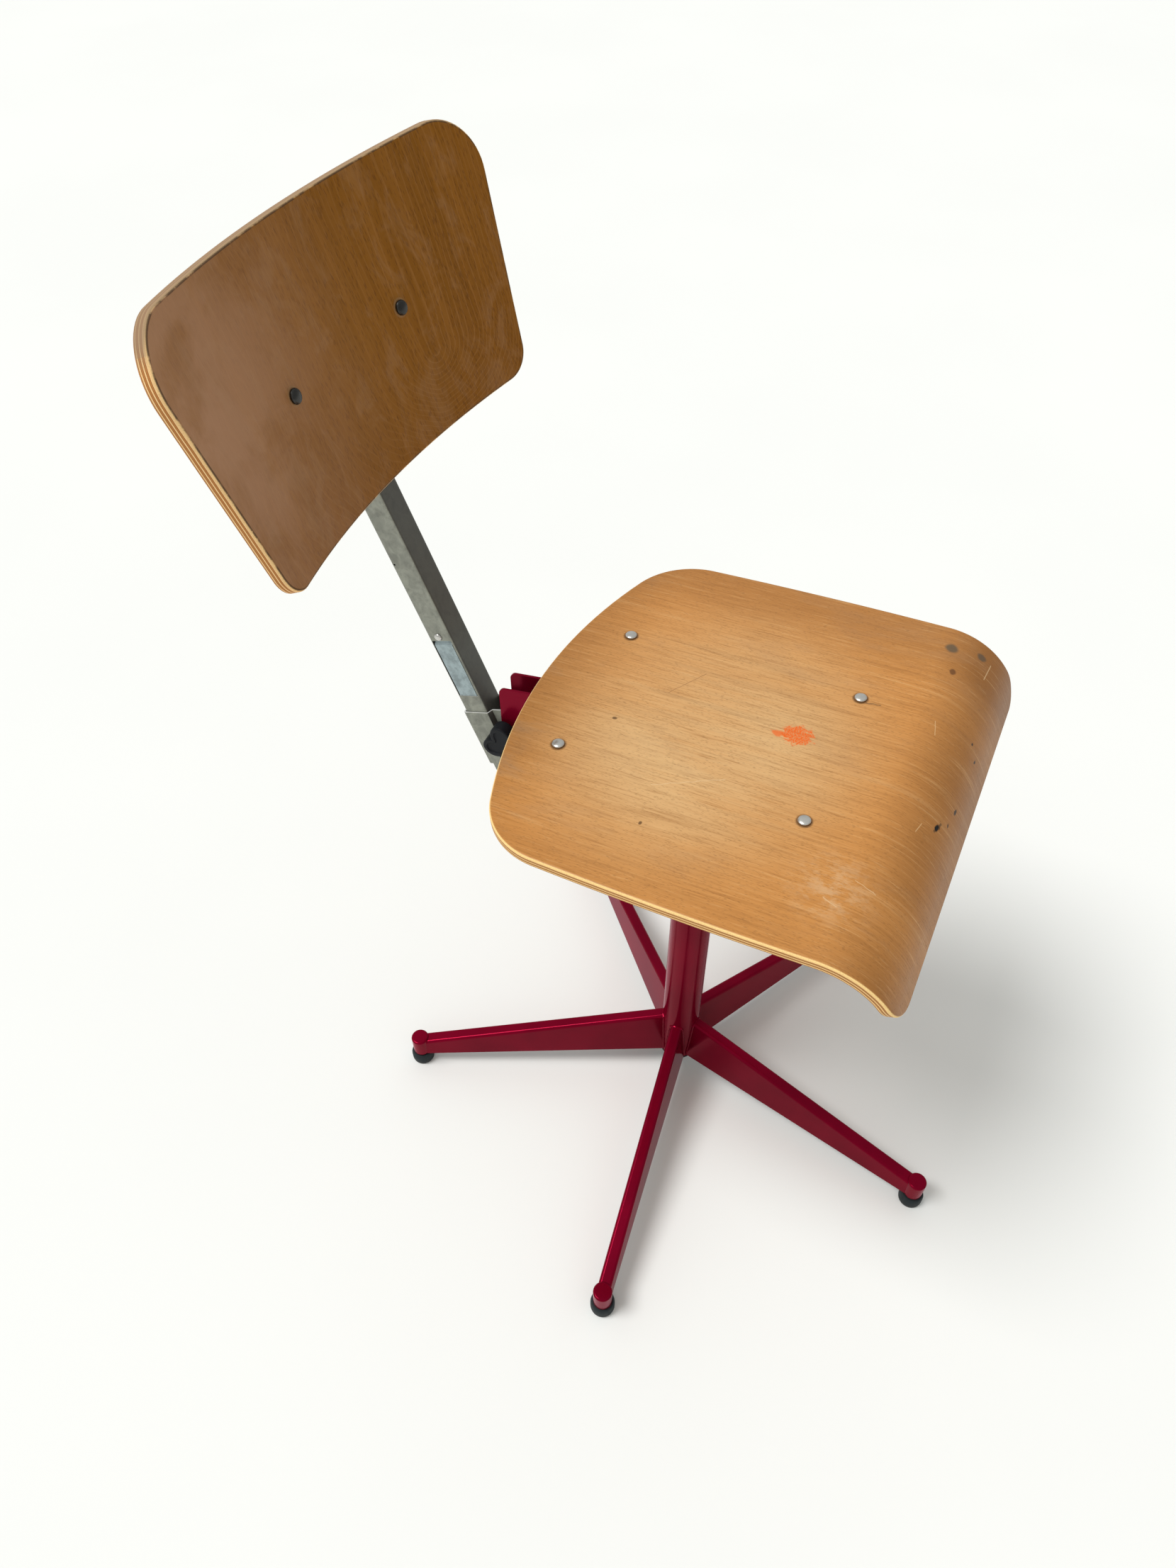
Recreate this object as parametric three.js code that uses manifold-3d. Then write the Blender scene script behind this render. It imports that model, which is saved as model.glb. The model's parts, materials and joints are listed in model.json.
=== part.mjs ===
// Drafting chair: a welded five-leg pedestal, a sliding and swivelling pillar, a moulded plywood seat on a
// pressed bracket, and a curved plywood backrest on a square stem that slides and tilts behind the seat.
// Millimetres, +Z up, the sitter faces -Y. The column's axis is x = y = 0 until the last lines, which move
// the chair so that the middle of its footprint is at the origin.
import * as THREE from 'three';
import { mergeVertices } from 'three/addons/utils/BufferGeometryUtils.js';
import Module from 'manifold-3d';

const wasm = await Module();
wasm.setup();

// ---------------------------------------------------------------- driving dimensions
const gap = 0.3;                  // air between two pieces that touch
const runGap = 0.35;              // air around a piece that slides or turns
const chamfer = 1;                // on turned and moulded edges
const past = 20;                  // how far a cutting shape runs past what it cuts

const legCount = 5;
const firstLegAngle = 44;         // degrees from +X
const footCircleR = 323;
const legTopHub = 101.5;          // height of a leg's ridge where it meets the column
const legTopFoot = 43;
const legFloorHub = 33;           // height of a leg's lower edges
const legFloorFoot = 18;
const legRidgeHub = 13;           // width over the rounded ridge
const legRidgeFoot = 14.5;
const legFlareHub = 24.4;         // width over the lower edges
const legFlareFoot = 16.4;
const legWall = 2;
const legFold = 3.6;              // outer radius of the folds beside the ridge

const bossR = 10.6;
const bossTop = 47;
const bossFloor = 17;
const bossEdge = 2.4;             // radius of the boss's top edge
const glideR = 13.6;
const glidePegR = 4;
const glidePegLength = 16;

const columnR = 22.25;
const columnWall = 2;
const columnFloor = 30;
const columnTop = 392;
const footPlugFlange = 4;
const footPlugDepth = 14;
const bushFlange = 6;
const bushRim = 1;                // how far the bush stands out past the column
const bushDepth = 60;
const bushWall = 3.6;             // between the column's bore and the pillar
const pillarWall = 3;
const pillarFloor = 150;
const guideHeight = 20;

const clampHeight = 372;          // height clamp on the column
const clampBossR = 10;
const clampBossLength = 14;
const clampScrewR = 4;
const clampScrewBare = 4;         // bare screw between boss and knob
const clampKnobR = 22;
const clampKnobThick = 15;
const knobHub = 1.8;              // hub standing out under a knob's lobes
const knobWaist = 0.62;           // depth of the notches, as a share of the radius
const knobHubShare = 0.42;
const knobEdge = 1.5;             // rounding of the lobes' edges

const seatHeight = 606.9;         // top of the seat above the column's axis
const seatPitch = 2.82;           // degrees, rear edge lower
const seatHalfWidth = 201.5;
const seatBelly = 3;              // how far each side bows out
const seatRear = 168;             // middle of the rear edge
const seatRearBow = 24.5;
const seatRearCornerR = 69;
const seatFrontCornerR = 29;
const seatBendStart = -159;       // where the front starts to turn down
const seatBendR = 74;
const seatBendAngle = 65.3;
const seatLip = 15;               // straight stretch past the bend
const seatPly = 10;
const seatScrewX = 78;
const seatScrewFront = -110.5;
const seatScrewRear = 113.7;

const strapWidth = 34;            // cross straps under the seat
const strapThick = 3;
const strapOverhang = 14;         // past each screw
const strapCorner = 9;
const channelOuter = 25.6;        // bracket channel
const channelWall = 2.5;
const channelFront = -128;
const channelDepth = 36;
const channelRear = 158;          // where the channel's floor stops and its two walls go on as ears
const earTipY = 212;              // rear edge of the ears
const earTopFrontY = 128;         // where the ears' top edge starts to fall
const earTopRear = -25.6;
const pivotY = 203.5;             // tilt pivot, below and behind the seat
const pivotZ = -89;
const earR = 12;
const earRearR = 7;               // radius at the ears' upper rear corner
const earFallR = 14;              // radius where the ears' top edge starts to fall
const pivotR = 4;
const pivotHeadR = 7;
const pivotHeadHeight = 4.6;

const spindleR = 9;
const spindleThreadR = 5;
const spindlePlug = 60;           // length fixed in the pillar's top
const socketWall = 10.65;
const socketHeight = 53.6;        // from the thrust washer to the channel
const washerThick = 3;
const spindleNutThick = 8;
const nutPlay = 1;                // between the nut's corners and the channel's walls

const stemLean = 20.7;            // degrees, top rearward
const stemSetback = 29.8;         // from the tilt pivot back to the stem's axis
const pivotAlong = -216.5;        // the pivot's place along the stem; 0 is mid-way up the open stretch
const stemWidth = 26;
const stemDepth = 27;
const stemWall = 2;
const stemCorner = 2.6;
const stemPlugFlange = 3;
const stemPlugDepth = 16;
const stemTop = 226;              // the stem's top, along its axis
const stemBottom = -302;
const windowTop = -97;            // opening in the stem's right-hand wall
const windowBottom = -164;
const rivetAlong = -92.5;
const leafTop = -58;
const sightHoleAlong = -11.5;
const sightHoleR = 1.2;
const sightHoleY = 10;
const leafSheet = 1.5;
const rivetR = 1.8;
const rivetHeadR = 3.9;
const rivetHeadHeight = 1.9;
const rivetTailR = 3.2;
const rivetY = 1.3;

const carrierTop = -184;          // folded carrier that the stem slides in
const carrierBottom = -252;
const carrierSheet = 1.6;
const cheekR = 12;                // rounding of the carrier's cheeks about the pivot
const neckSlope = 3;              // length of the joggle from the stem's sides in to the ears
const tiltKnobR = 26;
const tiltKnobThick = 15;
const tiltKnobTurn = 20;          // degrees, direction of one lobe
const tiltKnobAir = 1.8;          // between the knob's lobes and the carrier
const pivotWasher = 1.5;
const pivotWasherR = 8;

const backLean = 18.8;            // degrees, top rearward
const backAlong = 178.8;          // screw line, along the stem
const backStandoff = 36.8;        // from the stem's axis to the backrest's front face
const backR = 590;                // front face, hollow towards the sitter
const backPly = 10;
const backHalfTop = 219.6;
const backHalfBottom = 186.8;
const backHalfHeight = 109.1;
const backCrown = 2;              // how far the top edge bows up
const backTopCornerR = 46;
const backBottomCornerR = 26;
const backScrewArc = 75.4;        // screw to middle, along the curve
const backPlateHalf = 92;
const backPlateHeight = 34;
const backPlateThick = 3;
const blockInset = 4;             // block narrower than the stem and lower than the plate

const woodScrewR = 3;
const seatHeadR = 5.6;
const seatHeadHeight = 2.4;
const backHeadR = 6.2;
const backHeadHeight = 3;
const nutAF = 10;
const nutThick = 5;
const threadEnd = 2;              // thread standing out past a nut

// ---------------------------------------------------------------- finishes
function finish(color, roughness, metalness) {
  return new THREE.MeshStandardMaterial({ color, roughness, metalness });
}

const redPaint = finish(0x7a0a24, 0.25, 0.1);
const blackPlastic = finish(0x1c1d1f, 0.5, 0);
const rubber = finish(0x16191b, 0.8, 0);
const beech = finish(0xc08a50, 0.45, 0);
const beechDark = finish(0x8a5a28, 0.45, 0);
const galvanised = finish(0x93958c, 0.5, 0.8);
const zinc = finish(0x8d9a9c, 0.45, 0.8);
const brightSteel = finish(0xb4b2ab, 0.3, 0.9);

// ---------------------------------------------------------------- small geometry tools
const X = new THREE.Vector3(1, 0, 0);
const Y = new THREE.Vector3(0, 1, 0);
const Z = new THREE.Vector3(0, 0, 1);
const rad = THREE.MathUtils.degToRad;

const profileAlongX = new THREE.Matrix4().makeBasis(Y, Z, X);                  // drawn in (y, z)
const profileAlongY = new THREE.Matrix4().makeBasis(X, Z, Y.clone().negate()); // drawn in (x, z)

function shareVertices(geometry) {
  const bare = geometry.index ? geometry.toNonIndexed() : geometry.clone();
  bare.deleteAttribute('normal');
  bare.deleteAttribute('uv');
  return mergeVertices(bare, 1e-4);
}

// A closed mesh with its faces turned outwards and its collapsed triangles left out.
function closed(geometry) {
  const merged = shareVertices(geometry);
  const p = merged.attributes.position;
  const corners = [0, 1, 2].map(() => new THREE.Vector3());
  let volume = 0;
  let triangles = [];
  for (let i = 0; i < merged.index.count; i += 3) {
    const t = [0, 1, 2].map((k) => merged.index.getX(i + k));
    if (t[0] === t[1] || t[1] === t[2] || t[2] === t[0]) continue;
    t.forEach((v, k) => corners[k].fromBufferAttribute(p, v));
    volume += corners[0].dot(corners[1].clone().cross(corners[2]));
    triangles.push(t);
  }
  if (volume < 0) triangles = triangles.map(([a, b, c]) => [a, c, b]);
  merged.setIndex(triangles.flat());
  return merged;
}

function toSolid(geometry) {
  const g = closed(geometry);
  const vertProperties = new Float32Array(g.attributes.position.array);
  const triVerts = new Uint32Array(g.index.array);
  return new wasm.Manifold(new wasm.Mesh({ numProp: 3, vertProperties, triVerts }));
}

function toGeometry(solid) {
  const mesh = solid.getMesh();
  const g = new THREE.BufferGeometry();
  g.setAttribute('position', new THREE.BufferAttribute(new Float32Array(mesh.vertProperties), 3));
  g.setIndex(new THREE.BufferAttribute(new Uint32Array(mesh.triVerts), 1));
  return g;
}

const cut = (body, ...tools) => toGeometry(tools.reduce((s, t) => s.subtract(toSolid(t)), toSolid(body)));
const join = (body, ...more) => toGeometry(more.reduce((s, t) => s.add(toSolid(t)), toSolid(body)));

// A round bar along +Z from z = low to z = high.
function bar(radius, low, high, segments = 32) {
  return new THREE.CylinderGeometry(radius, radius, high - low, segments).rotateX(Math.PI / 2)
    .translate(0, 0, (low + high) / 2);
}

// A turned piece about +Z: the profile is a list of [radius, z].
function turned(profile, segments = 32) {
  const points = profile.map(([r, z]) => new THREE.Vector2(r, z));
  return closed(new THREE.LatheGeometry(points, segments).rotateX(Math.PI / 2));
}

// A ring about +Z: its section is closed on itself.
function ring(inner, outer, low, high, segments = 32) {
  return turned([[inner, low], [outer, low], [outer, high], [inner, high], [inner, low]], segments);
}

const turnToX = (geometry) => geometry.rotateY(Math.PI / 2);

function polygon(points) {
  return new THREE.Shape(points.map(([u, v]) => new THREE.Vector2(u, v)));
}

// A polygon whose corners are rounded: the points are [u, v, radius].
function roundedPolygon(points) {
  const at = (i) => new THREE.Vector2(...points[(i + points.length) % points.length]);
  const shape = new THREE.Shape();
  points.forEach(([u, v, r = 0], i) => {
    const here = new THREE.Vector2(u, v);
    const back = at(i - 1).sub(here).normalize();
    const ahead = at(i + 1).sub(here).normalize();
    const half = Math.acos(THREE.MathUtils.clamp(back.dot(ahead), -1, 1)) / 2;
    const reach = r / Math.tan(half);
    const start = here.clone().addScaledVector(back, reach);
    if (i === 0) shape.moveTo(start.x, start.y);
    else shape.lineTo(start.x, start.y);
    if (r > 0) {
      const centre = here.clone().addScaledVector(back.clone().add(ahead).normalize(), r / Math.sin(half));
      const end = here.clone().addScaledVector(ahead, reach);
      const from = Math.atan2(start.y - centre.y, start.x - centre.x);
      const to = Math.atan2(end.y - centre.y, end.x - centre.x);
      const clockwise = back.x * ahead.y - back.y * ahead.x > 0;
      shape.absarc(centre.x, centre.y, r, from, to, clockwise);
    }
  });
  shape.closePath();
  return shape;
}

function rectangle(width, depth, corner = 0) {
  const w = width / 2;
  const d = depth / 2;
  return roundedPolygon([[-w, -d, corner], [w, -d, corner], [w, d, corner], [-w, d, corner]]);
}

function hexagon(acrossFlats) {
  const r = acrossFlats / Math.sqrt(3);
  return polygon([0, 60, 120, 180, 240, 300].map((a) => [r * Math.cos(rad(a)), r * Math.sin(rad(a))]));
}

// An extrusion along +Z from low to high.
function prism(shape, low, high, curveSegments = 6) {
  return new THREE.ExtrudeGeometry(shape, { depth: high - low, bevelEnabled: false, curveSegments })
    .translate(0, 0, low);
}

// A profile drawn in (y, z) and given a width along X.
function slab(shape, fromX, toX, curveSegments = 6) {
  return prism(shape, fromX, toX, curveSegments).applyMatrix4(profileAlongX);
}

function nut(acrossFlats, boreR, thickness) {
  const shape = hexagon(acrossFlats);
  shape.holes.push(new THREE.Path().absarc(0, 0, boreR, 0, Math.PI * 2, true));
  return prism(shape, 0, thickness, 10);
}

// The points of a closed outline, with no point repeated.
function distinct(points) {
  return points.filter((p, i) => p.distanceTo(points[(i + 1) % points.length]) > 1e-6);
}

// Skin over rows of points. Each row is a closed section with the same number of points.
function loft(rows) {
  const n = rows[0].length;
  const positions = rows.flat().flatMap((v) => [v.x, v.y, v.z]);
  const index = [];
  for (let j = 0; j < rows.length - 1; j += 1) {
    for (let i = 0; i < n; i += 1) {
      const a = j * n + i;
      const b = j * n + ((i + 1) % n);
      index.push(a, b, b + n, a, b + n, a + n);
    }
  }
  const flat = rows[0].map((v) => new THREE.Vector2(v.x, v.z));
  const last = (rows.length - 1) * n;
  for (const [a, b, c] of THREE.ShapeUtils.triangulateShape(flat, [])) {
    index.push(a, c, b);
    index.push(last + a, last + b, last + c);
  }
  const g = new THREE.BufferGeometry();
  g.setAttribute('position', new THREE.Float32BufferAttribute(positions, 3));
  g.setIndex(index);
  return closed(g);
}

// Where the line "station = s" crosses a closed outline: the lowest and highest crossing.
function span(outline, s) {
  let low = Infinity;
  let high = -Infinity;
  outline.forEach((a, i) => {
    const b = outline[(i + 1) % outline.length];
    if ((a.s - s) * (b.s - s) > 0) return;
    const crossings = a.s === b.s ? [a.t, b.t] : [a.t + ((b.t - a.t) * (s - a.s)) / (b.s - a.s)];
    low = Math.min(low, ...crossings);
    high = Math.max(high, ...crossings);
  });
  return [low, high];
}

// A sheet of plywood cut to an outline in (s, t) and bent by place(s, t, depth). Its surface is laid in rows
// of constant s, so a bend about the t direction comes out evenly.
function bentSheet(outline, stations, rowSteps, thickness, place) {
  const rows = stations.map((s) => {
    const [low, high] = span(outline, s);
    return Array.from({ length: rowSteps + 1 }, (_, k) => [s, low + ((high - low) * k) / rowSteps]);
  });
  const n = rowSteps + 1;
  const positions = [];
  for (const depth of [0, thickness]) {
    for (const row of rows) for (const [s, t] of row) positions.push(...place(s, t, depth).toArray());
  }
  const under = rows.length * n;
  const index = [];
  const quad = (a, b, c, d) => index.push(a, b, c, a, c, d);
  for (let j = 0; j < rows.length - 1; j += 1) {
    for (let i = 0; i < rowSteps; i += 1) {
      const a = j * n + i;
      quad(a, a + 1, a + 1 + n, a + n);
      quad(under + a, under + a + n, under + a + 1 + n, under + a + 1);
    }
    const left = j * n;
    const right = j * n + rowSteps;
    quad(left, left + n, under + left + n, under + left);
    quad(right, under + right, under + right + n, right + n);
  }
  const end = (rows.length - 1) * n;
  for (let i = 0; i < rowSteps; i += 1) {
    quad(i, under + i, under + i + 1, i + 1);
    quad(end + i, end + i + 1, under + end + i + 1, under + end + i);
  }
  const g = new THREE.BufferGeometry();
  g.setAttribute('position', new THREE.Float32BufferAttribute(positions, 3));
  g.setIndex(index);
  return closed(g);
}

// Stations for the rows: the outline's own points and steps between bendLow and bendHigh, where the sheet
// curves. None is closer than 0.8 mm to the last.
function stationsOf(outline, step, bendLow = -Infinity, bendHigh = Infinity) {
  const own = outline.map((p) => p.s);
  const low = Math.min(...own);
  const high = Math.max(...own);
  const from = Math.max(low, bendLow);
  const to = Math.min(high, bendHigh);
  const count = Math.ceil((to - from) / step);
  const even = Array.from({ length: count + 1 }, (_, k) => from + ((to - from) * k) / count);
  const kept = [low];
  for (const v of [...own, ...even].sort((p, q) => p - q)) {
    if (v - kept.at(-1) > 0.8 && high - v > 0.8) kept.push(v);
  }
  return [...kept, high];
}

const chair = new THREE.Group();

function add(group, name, geometry, material) {
  const mesh = new THREE.Mesh(closed(geometry), material);
  mesh.name = name;
  group.add(mesh);
  return mesh;
}

// ---------------------------------------------------------------- pedestal
const base = new THREE.Group();
chair.add(base);
const lerp = THREE.MathUtils.lerp;

// Legs are folded, open-bottomed channels that taper from the column to the foot.
function legSection(radial) {
  const f = (radial - columnR) / (footCircleR - columnR);
  const top = lerp(legTopHub, legTopFoot, f);
  const floor = lerp(legFloorHub, legFloorFoot, f);
  const ridge = lerp(legRidgeHub, legRidgeFoot, f) / 2;
  const flare = lerp(legFlareHub, legFlareFoot, f) / 2;
  const w = legWall;
  const outline = roundedPolygon([
    [flare, floor], [ridge, top, legFold], [-ridge, top, legFold], [-flare, floor],
    [-flare + w, floor], [-ridge + w, top - w, legFold - w],
    [ridge - w, top - w, legFold - w], [flare - w, floor],
  ]);
  return distinct(outline.getPoints(4)).map((p) => new THREE.Vector3(p.x, radial, p.y));
}

function legGeometry() {
  const rows = [legSection(columnR / 2), legSection(footCircleR)];
  const columnTool = bar(columnR + gap, legFloorHub - past, legTopHub + past, 48);
  const bossTool = bar(bossR + gap, 0, legTopHub, 32).translate(0, footCircleR, 0);
  return cut(loft(rows), columnTool, bossTool);
}

function bossGeometry() {
  const e = bossEdge;
  const arc = [0, 45, 90].map((a) => [bossR - e + e * Math.cos(rad(a)), bossTop - e + e * Math.sin(rad(a))]);
  const bore = glidePegR + gap;
  const boreTop = bossFloor + glidePegLength + chamfer;
  const underside = [[0, boreTop], [bore, boreTop], [bore, bossFloor], [bossR, bossFloor]];
  return turned([...underside, ...arc, [0, bossTop]], 24);
}

function glideGeometry() {
  const top = bossFloor - gap;
  const pegTop = bossFloor + glidePegLength;
  return turned([
    [0, 0], [glideR - chamfer, 0], [glideR, chamfer],
    [glideR, top - 1.5 * chamfer], [glideR - 1.5 * chamfer, top],
    [glidePegR, top], [glidePegR, pegTop], [0, pegTop],
  ], 24);
}

for (let i = 0; i < legCount; i += 1) {
  const arm = new THREE.Group();
  arm.rotation.z = rad(firstLegAngle - 90 + (i * 360) / legCount);
  base.add(arm);
  add(arm, `leg_${i + 1}`, legGeometry(), redPaint);
  add(arm, `foot_boss_${i + 1}`, bossGeometry(), redPaint).position.y = footCircleR;
  add(arm, `glide_${i + 1}`, glideGeometry(), rubber).position.y = footCircleR;
}

const columnBore = columnR - columnWall;
const pillarR = columnBore - gap - bushWall - runGap;
const clampHole = turnToX(bar(clampScrewR + gap, 0, columnR + past, 24)).translate(0, 0, clampHeight);
add(base, 'column', cut(ring(columnBore, columnR, columnFloor, columnTop, 48), clampHole), redPaint);

const plugFloor = columnFloor - footPlugFlange;
add(base, 'column_foot_plug', turned([
  [0, plugFloor], [columnR - chamfer, plugFloor], [columnR, plugFloor + chamfer],
  [columnR, columnFloor - gap],
  [columnBore - gap, columnFloor - gap], [columnBore - gap, columnFloor + footPlugDepth],
  [0, columnFloor + footPlugDepth],
], 48), blackPlastic);

const bushBore = pillarR + runGap;
const bushTop = columnTop + gap + bushFlange;
const bushRimR = columnR + bushRim;
const bush = turned([
  [bushBore, columnTop - bushDepth], [columnBore - gap, columnTop - bushDepth],
  [columnBore - gap, columnTop + gap], [bushRimR, columnTop + gap],
  [bushRimR, bushTop - 2 * chamfer], [bushRimR - 2 * chamfer, bushTop],
  [bushBore, bushTop], [bushBore, columnTop - bushDepth],
], 48);
add(base, 'column_bush', cut(bush, clampHole), blackPlastic);

// Height clamp: a threaded boss on the column's side, and a screw with a cross knob.
const columnTool = bar(columnR + gap, clampHeight - past, clampHeight + past, 48);
const clampBoss = turnToX(ring(clampScrewR + gap, clampBossR, columnR / 2, columnR + clampBossLength))
  .translate(0, 0, clampHeight);
add(base, 'clamp_boss', cut(clampBoss, columnTool), redPaint);

const clampTip = pillarR + runGap + gap;
const clampKnobStart = columnR + clampBossLength + clampScrewBare;
const clampBoreDepth = 0.7 * clampKnobThick;
const clampScrew = turnToX(bar(clampScrewR, clampTip, clampKnobStart + clampBoreDepth - gap, 24))
  .translate(0, 0, clampHeight);
add(base, 'height_clamp_screw', clampScrew, brightSteel);

// A moulded cross knob about +Z, seated on z = 0, with a round hub below its four lobes.
function crossKnob(radius, thickness, hubHeight, boreR, boreDepth) {
  const steps = 56;
  const outline = Array.from({ length: steps }, (_, i) => {
    const a = (i * 2 * Math.PI) / steps;
    const swell = Math.sqrt(0.5 + 0.5 * Math.cos(4 * a));
    const r = radius * (knobWaist + (1 - knobWaist) * swell) - knobEdge;
    return [r * Math.cos(a), r * Math.sin(a)];
  });
  const body = new THREE.ExtrudeGeometry(polygon(outline), {
    depth: thickness - hubHeight - 2 * knobEdge,
    bevelEnabled: true,
    bevelSize: knobEdge,
    bevelThickness: knobEdge,
    bevelSegments: 2,
  }).translate(0, 0, hubHeight + knobEdge);
  const hub = bar(radius * knobHubShare, 0, thickness / 2);
  return cut(join(body, hub), bar(boreR, -chamfer, boreDepth, 24));
}

const clampKnob = turnToX(crossKnob(clampKnobR, clampKnobThick, knobHub, clampScrewR + gap, clampBoreDepth));
add(base, 'height_clamp_knob', clampKnob.translate(clampKnobStart, 0, clampHeight), blackPlastic);

// ---------------------------------------------------------------- pillar
// The bracket above sets the pillar's top: channel, socket, washer, then the pillar.
const pitchTan = Math.tan(rad(seatPitch));
const strapTop = -(seatPly + gap);
const channelTop = strapTop - strapThick - gap;
const channelFloor = channelTop - channelDepth;
const floorOnAxis = seatHeight + channelFloor / Math.cos(rad(seatPitch));   // the channel's underside
const socketFloor = floorOnAxis - socketHeight;
const washerFloor = socketFloor - runGap - washerThick;
const pillarTop = washerFloor - gap;

const pillar = new THREE.Group();
chair.add(pillar);
const pillarBore = pillarR - pillarWall;
add(pillar, 'pillar', ring(pillarBore, pillarR, pillarFloor, pillarTop, 48), brightSteel);
const guideR = columnBore - runGap;
const guideTop = pillarFloor + guideHeight;
add(pillar, 'pillar_guide', turned([
  [pillarR + gap, pillarFloor], [guideR - chamfer, pillarFloor], [guideR, pillarFloor + chamfer],
  [guideR, guideTop - chamfer], [guideR - chamfer, guideTop],
  [pillarR + gap, guideTop], [pillarR + gap, pillarFloor],
], 48), blackPlastic);

const seatGroup = new THREE.Group();
seatGroup.position.z = seatHeight;
seatGroup.rotation.x = -rad(seatPitch);
seatGroup.updateMatrix();
chair.add(seatGroup);

// The channel's floor is pitched and the spindle is upright, so its shoulder and nut stand off the floor.
const nutCornerR = channelOuter / 2 - channelWall - nutPlay;
const spindleShoulder = floorOnAxis - spindleR * pitchTan - gap;
const spindleNutFloor = floorOnAxis + channelWall + nutCornerR * pitchTan + gap;
const spindleTop = spindleNutFloor + spindleNutThick + threadEnd;
add(pillar, 'swivel_spindle', turned([
  [0, pillarTop - spindlePlug], [pillarBore - gap, pillarTop - spindlePlug],
  [pillarBore - gap, pillarTop - chamfer],
  [spindleR, pillarTop - chamfer], [spindleR, spindleShoulder], [spindleThreadR, spindleShoulder],
  [spindleThreadR, spindleTop - chamfer], [spindleThreadR - chamfer, spindleTop], [0, spindleTop],
]), brightSteel);
add(pillar, 'thrust_washer', ring(spindleR + gap, pillarR, washerFloor, washerFloor + washerThick), zinc);
const spindleNutAF = nutCornerR * Math.sqrt(3);
add(pillar, 'spindle_nut', nut(spindleNutAF, spindleThreadR + gap, spindleNutThick)
  .translate(0, 0, spindleNutFloor), zinc);

// ---------------------------------------------------------------- seat bracket
// The socket turns on the spindle; its top is trimmed to the pitched floor of the channel.
const seatMatrix = seatGroup.matrix.clone();
const half = channelOuter / 2;
const socketBore = spindleR + runGap;
const socketR = socketBore + socketWall;
const trim = new THREE.BoxGeometry(4 * socketR, 4 * socketR, 2 * past)
  .translate(0, 0, channelFloor - gap + past).applyMatrix4(seatMatrix);
const socket = ring(socketBore, socketR, socketFloor, floorOnAxis + past / 2, 40);
const swivel = new THREE.Group();
chair.add(swivel);
add(swivel, 'swivel_socket', cut(socket, trim), redPaint);

const channelSide = roundedPolygon([
  [channelFront, channelTop], [channelFront, channelFloor, 2 * channelWall], [channelRear, channelFloor, 8],
  [pivotY - 1.3 * earR, pivotZ - earR, earR * 0.8], [pivotY + earR, pivotZ - earR, earR],
  [earTipY, earTopRear, earRearR], [earTopFrontY, channelTop, earFallR],
]);
const innerSide = polygon([
  [channelFront - past, channelTop + past], [channelFront - past, channelFloor + channelWall],
  [channelRear, channelFloor + channelWall], [channelRear, pivotZ - earR - past],
  [earTipY + past, pivotZ - earR - past], [earTipY + past, channelTop + past],
]);
const pivotHole = turnToX(bar(pivotR + gap, -half - past, half + past, 24)).translate(0, pivotY, pivotZ);
const spindleHole = bar(spindleThreadR + chamfer, floorOnAxis - past, floorOnAxis + past)
  .applyMatrix4(seatMatrix.clone().invert());
const innerHalf = half - channelWall;
const channelBlank = slab(channelSide, -half, half);
const channel = cut(channelBlank, slab(innerSide, -innerHalf, innerHalf), pivotHole, spindleHole);
add(seatGroup, 'bracket_channel', channel, redPaint);

const screwHole = (x, y, low, high) => bar(woodScrewR + gap, low, high, 20).translate(x, y, 0);
const strapLength = 2 * (seatScrewX + strapOverhang);
for (const [name, y] of [['front_strap', seatScrewFront], ['rear_strap', seatScrewRear]]) {
  const blank = prism(rectangle(strapLength, strapWidth, strapCorner), strapTop - strapThick, strapTop);
  const holes = [-seatScrewX, seatScrewX].map((x) => screwHole(x, y, strapTop - past, strapTop + past));
  add(seatGroup, name, cut(blank.translate(0, y, 0), ...holes), redPaint);
}

// ---------------------------------------------------------------- seat
const bendTurn = rad(seatBendAngle);
const seatFront = seatBendStart - seatBendR * bendTurn - seatLip;   // along the surface

// The seat's blank, drawn flat: across in x, front to rear in y.
function seatBlank() {
  const w = seatHalfWidth;
  const sideTop = seatRear - seatRearBow - seatRearCornerR;
  const cornerX = w - seatRearCornerR;
  const slope = Math.atan2(2 * seatRearBow, cornerX);
  const middle = (seatFront + seatFrontCornerR + sideTop) / 2;
  const shape = new THREE.Shape();
  shape.moveTo(-w + seatFrontCornerR, seatFront);
  shape.lineTo(w - seatFrontCornerR, seatFront);
  shape.absarc(w - seatFrontCornerR, seatFront + seatFrontCornerR, seatFrontCornerR, -Math.PI / 2, 0);
  shape.quadraticCurveTo(w + 2 * seatBelly, middle, w, sideTop);
  shape.absarc(cornerX, sideTop, seatRearCornerR, 0, Math.PI / 2 - slope);
  const edge = shape.currentPoint.clone();
  shape.quadraticCurveTo(0, 2 * seatRear - edge.y, -edge.x, edge.y);
  shape.absarc(-cornerX, sideTop, seatRearCornerR, Math.PI / 2 + slope, Math.PI);
  shape.quadraticCurveTo(-w - 2 * seatBelly, middle, -w, seatFront + seatFrontCornerR);
  shape.absarc(-w + seatFrontCornerR, seatFront + seatFrontCornerR, seatFrontCornerR, Math.PI, 1.5 * Math.PI);
  return shape;
}

// Flat to the bend line, then rolled down about an axis across the seat.
function seatPlace(s, x, depth) {
  const past = Math.max(0, seatBendStart - s);
  const turn = Math.min(past / seatBendR, bendTurn);
  const straight = Math.max(0, past - seatBendR * bendTurn);
  const y = Math.max(s, seatBendStart) - seatBendR * Math.sin(turn) - straight * Math.cos(turn);
  const z = -seatBendR * (1 - Math.cos(turn)) - straight * Math.sin(turn);
  return new THREE.Vector3(x, y + depth * Math.sin(turn), z - depth * Math.cos(turn));
}

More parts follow.
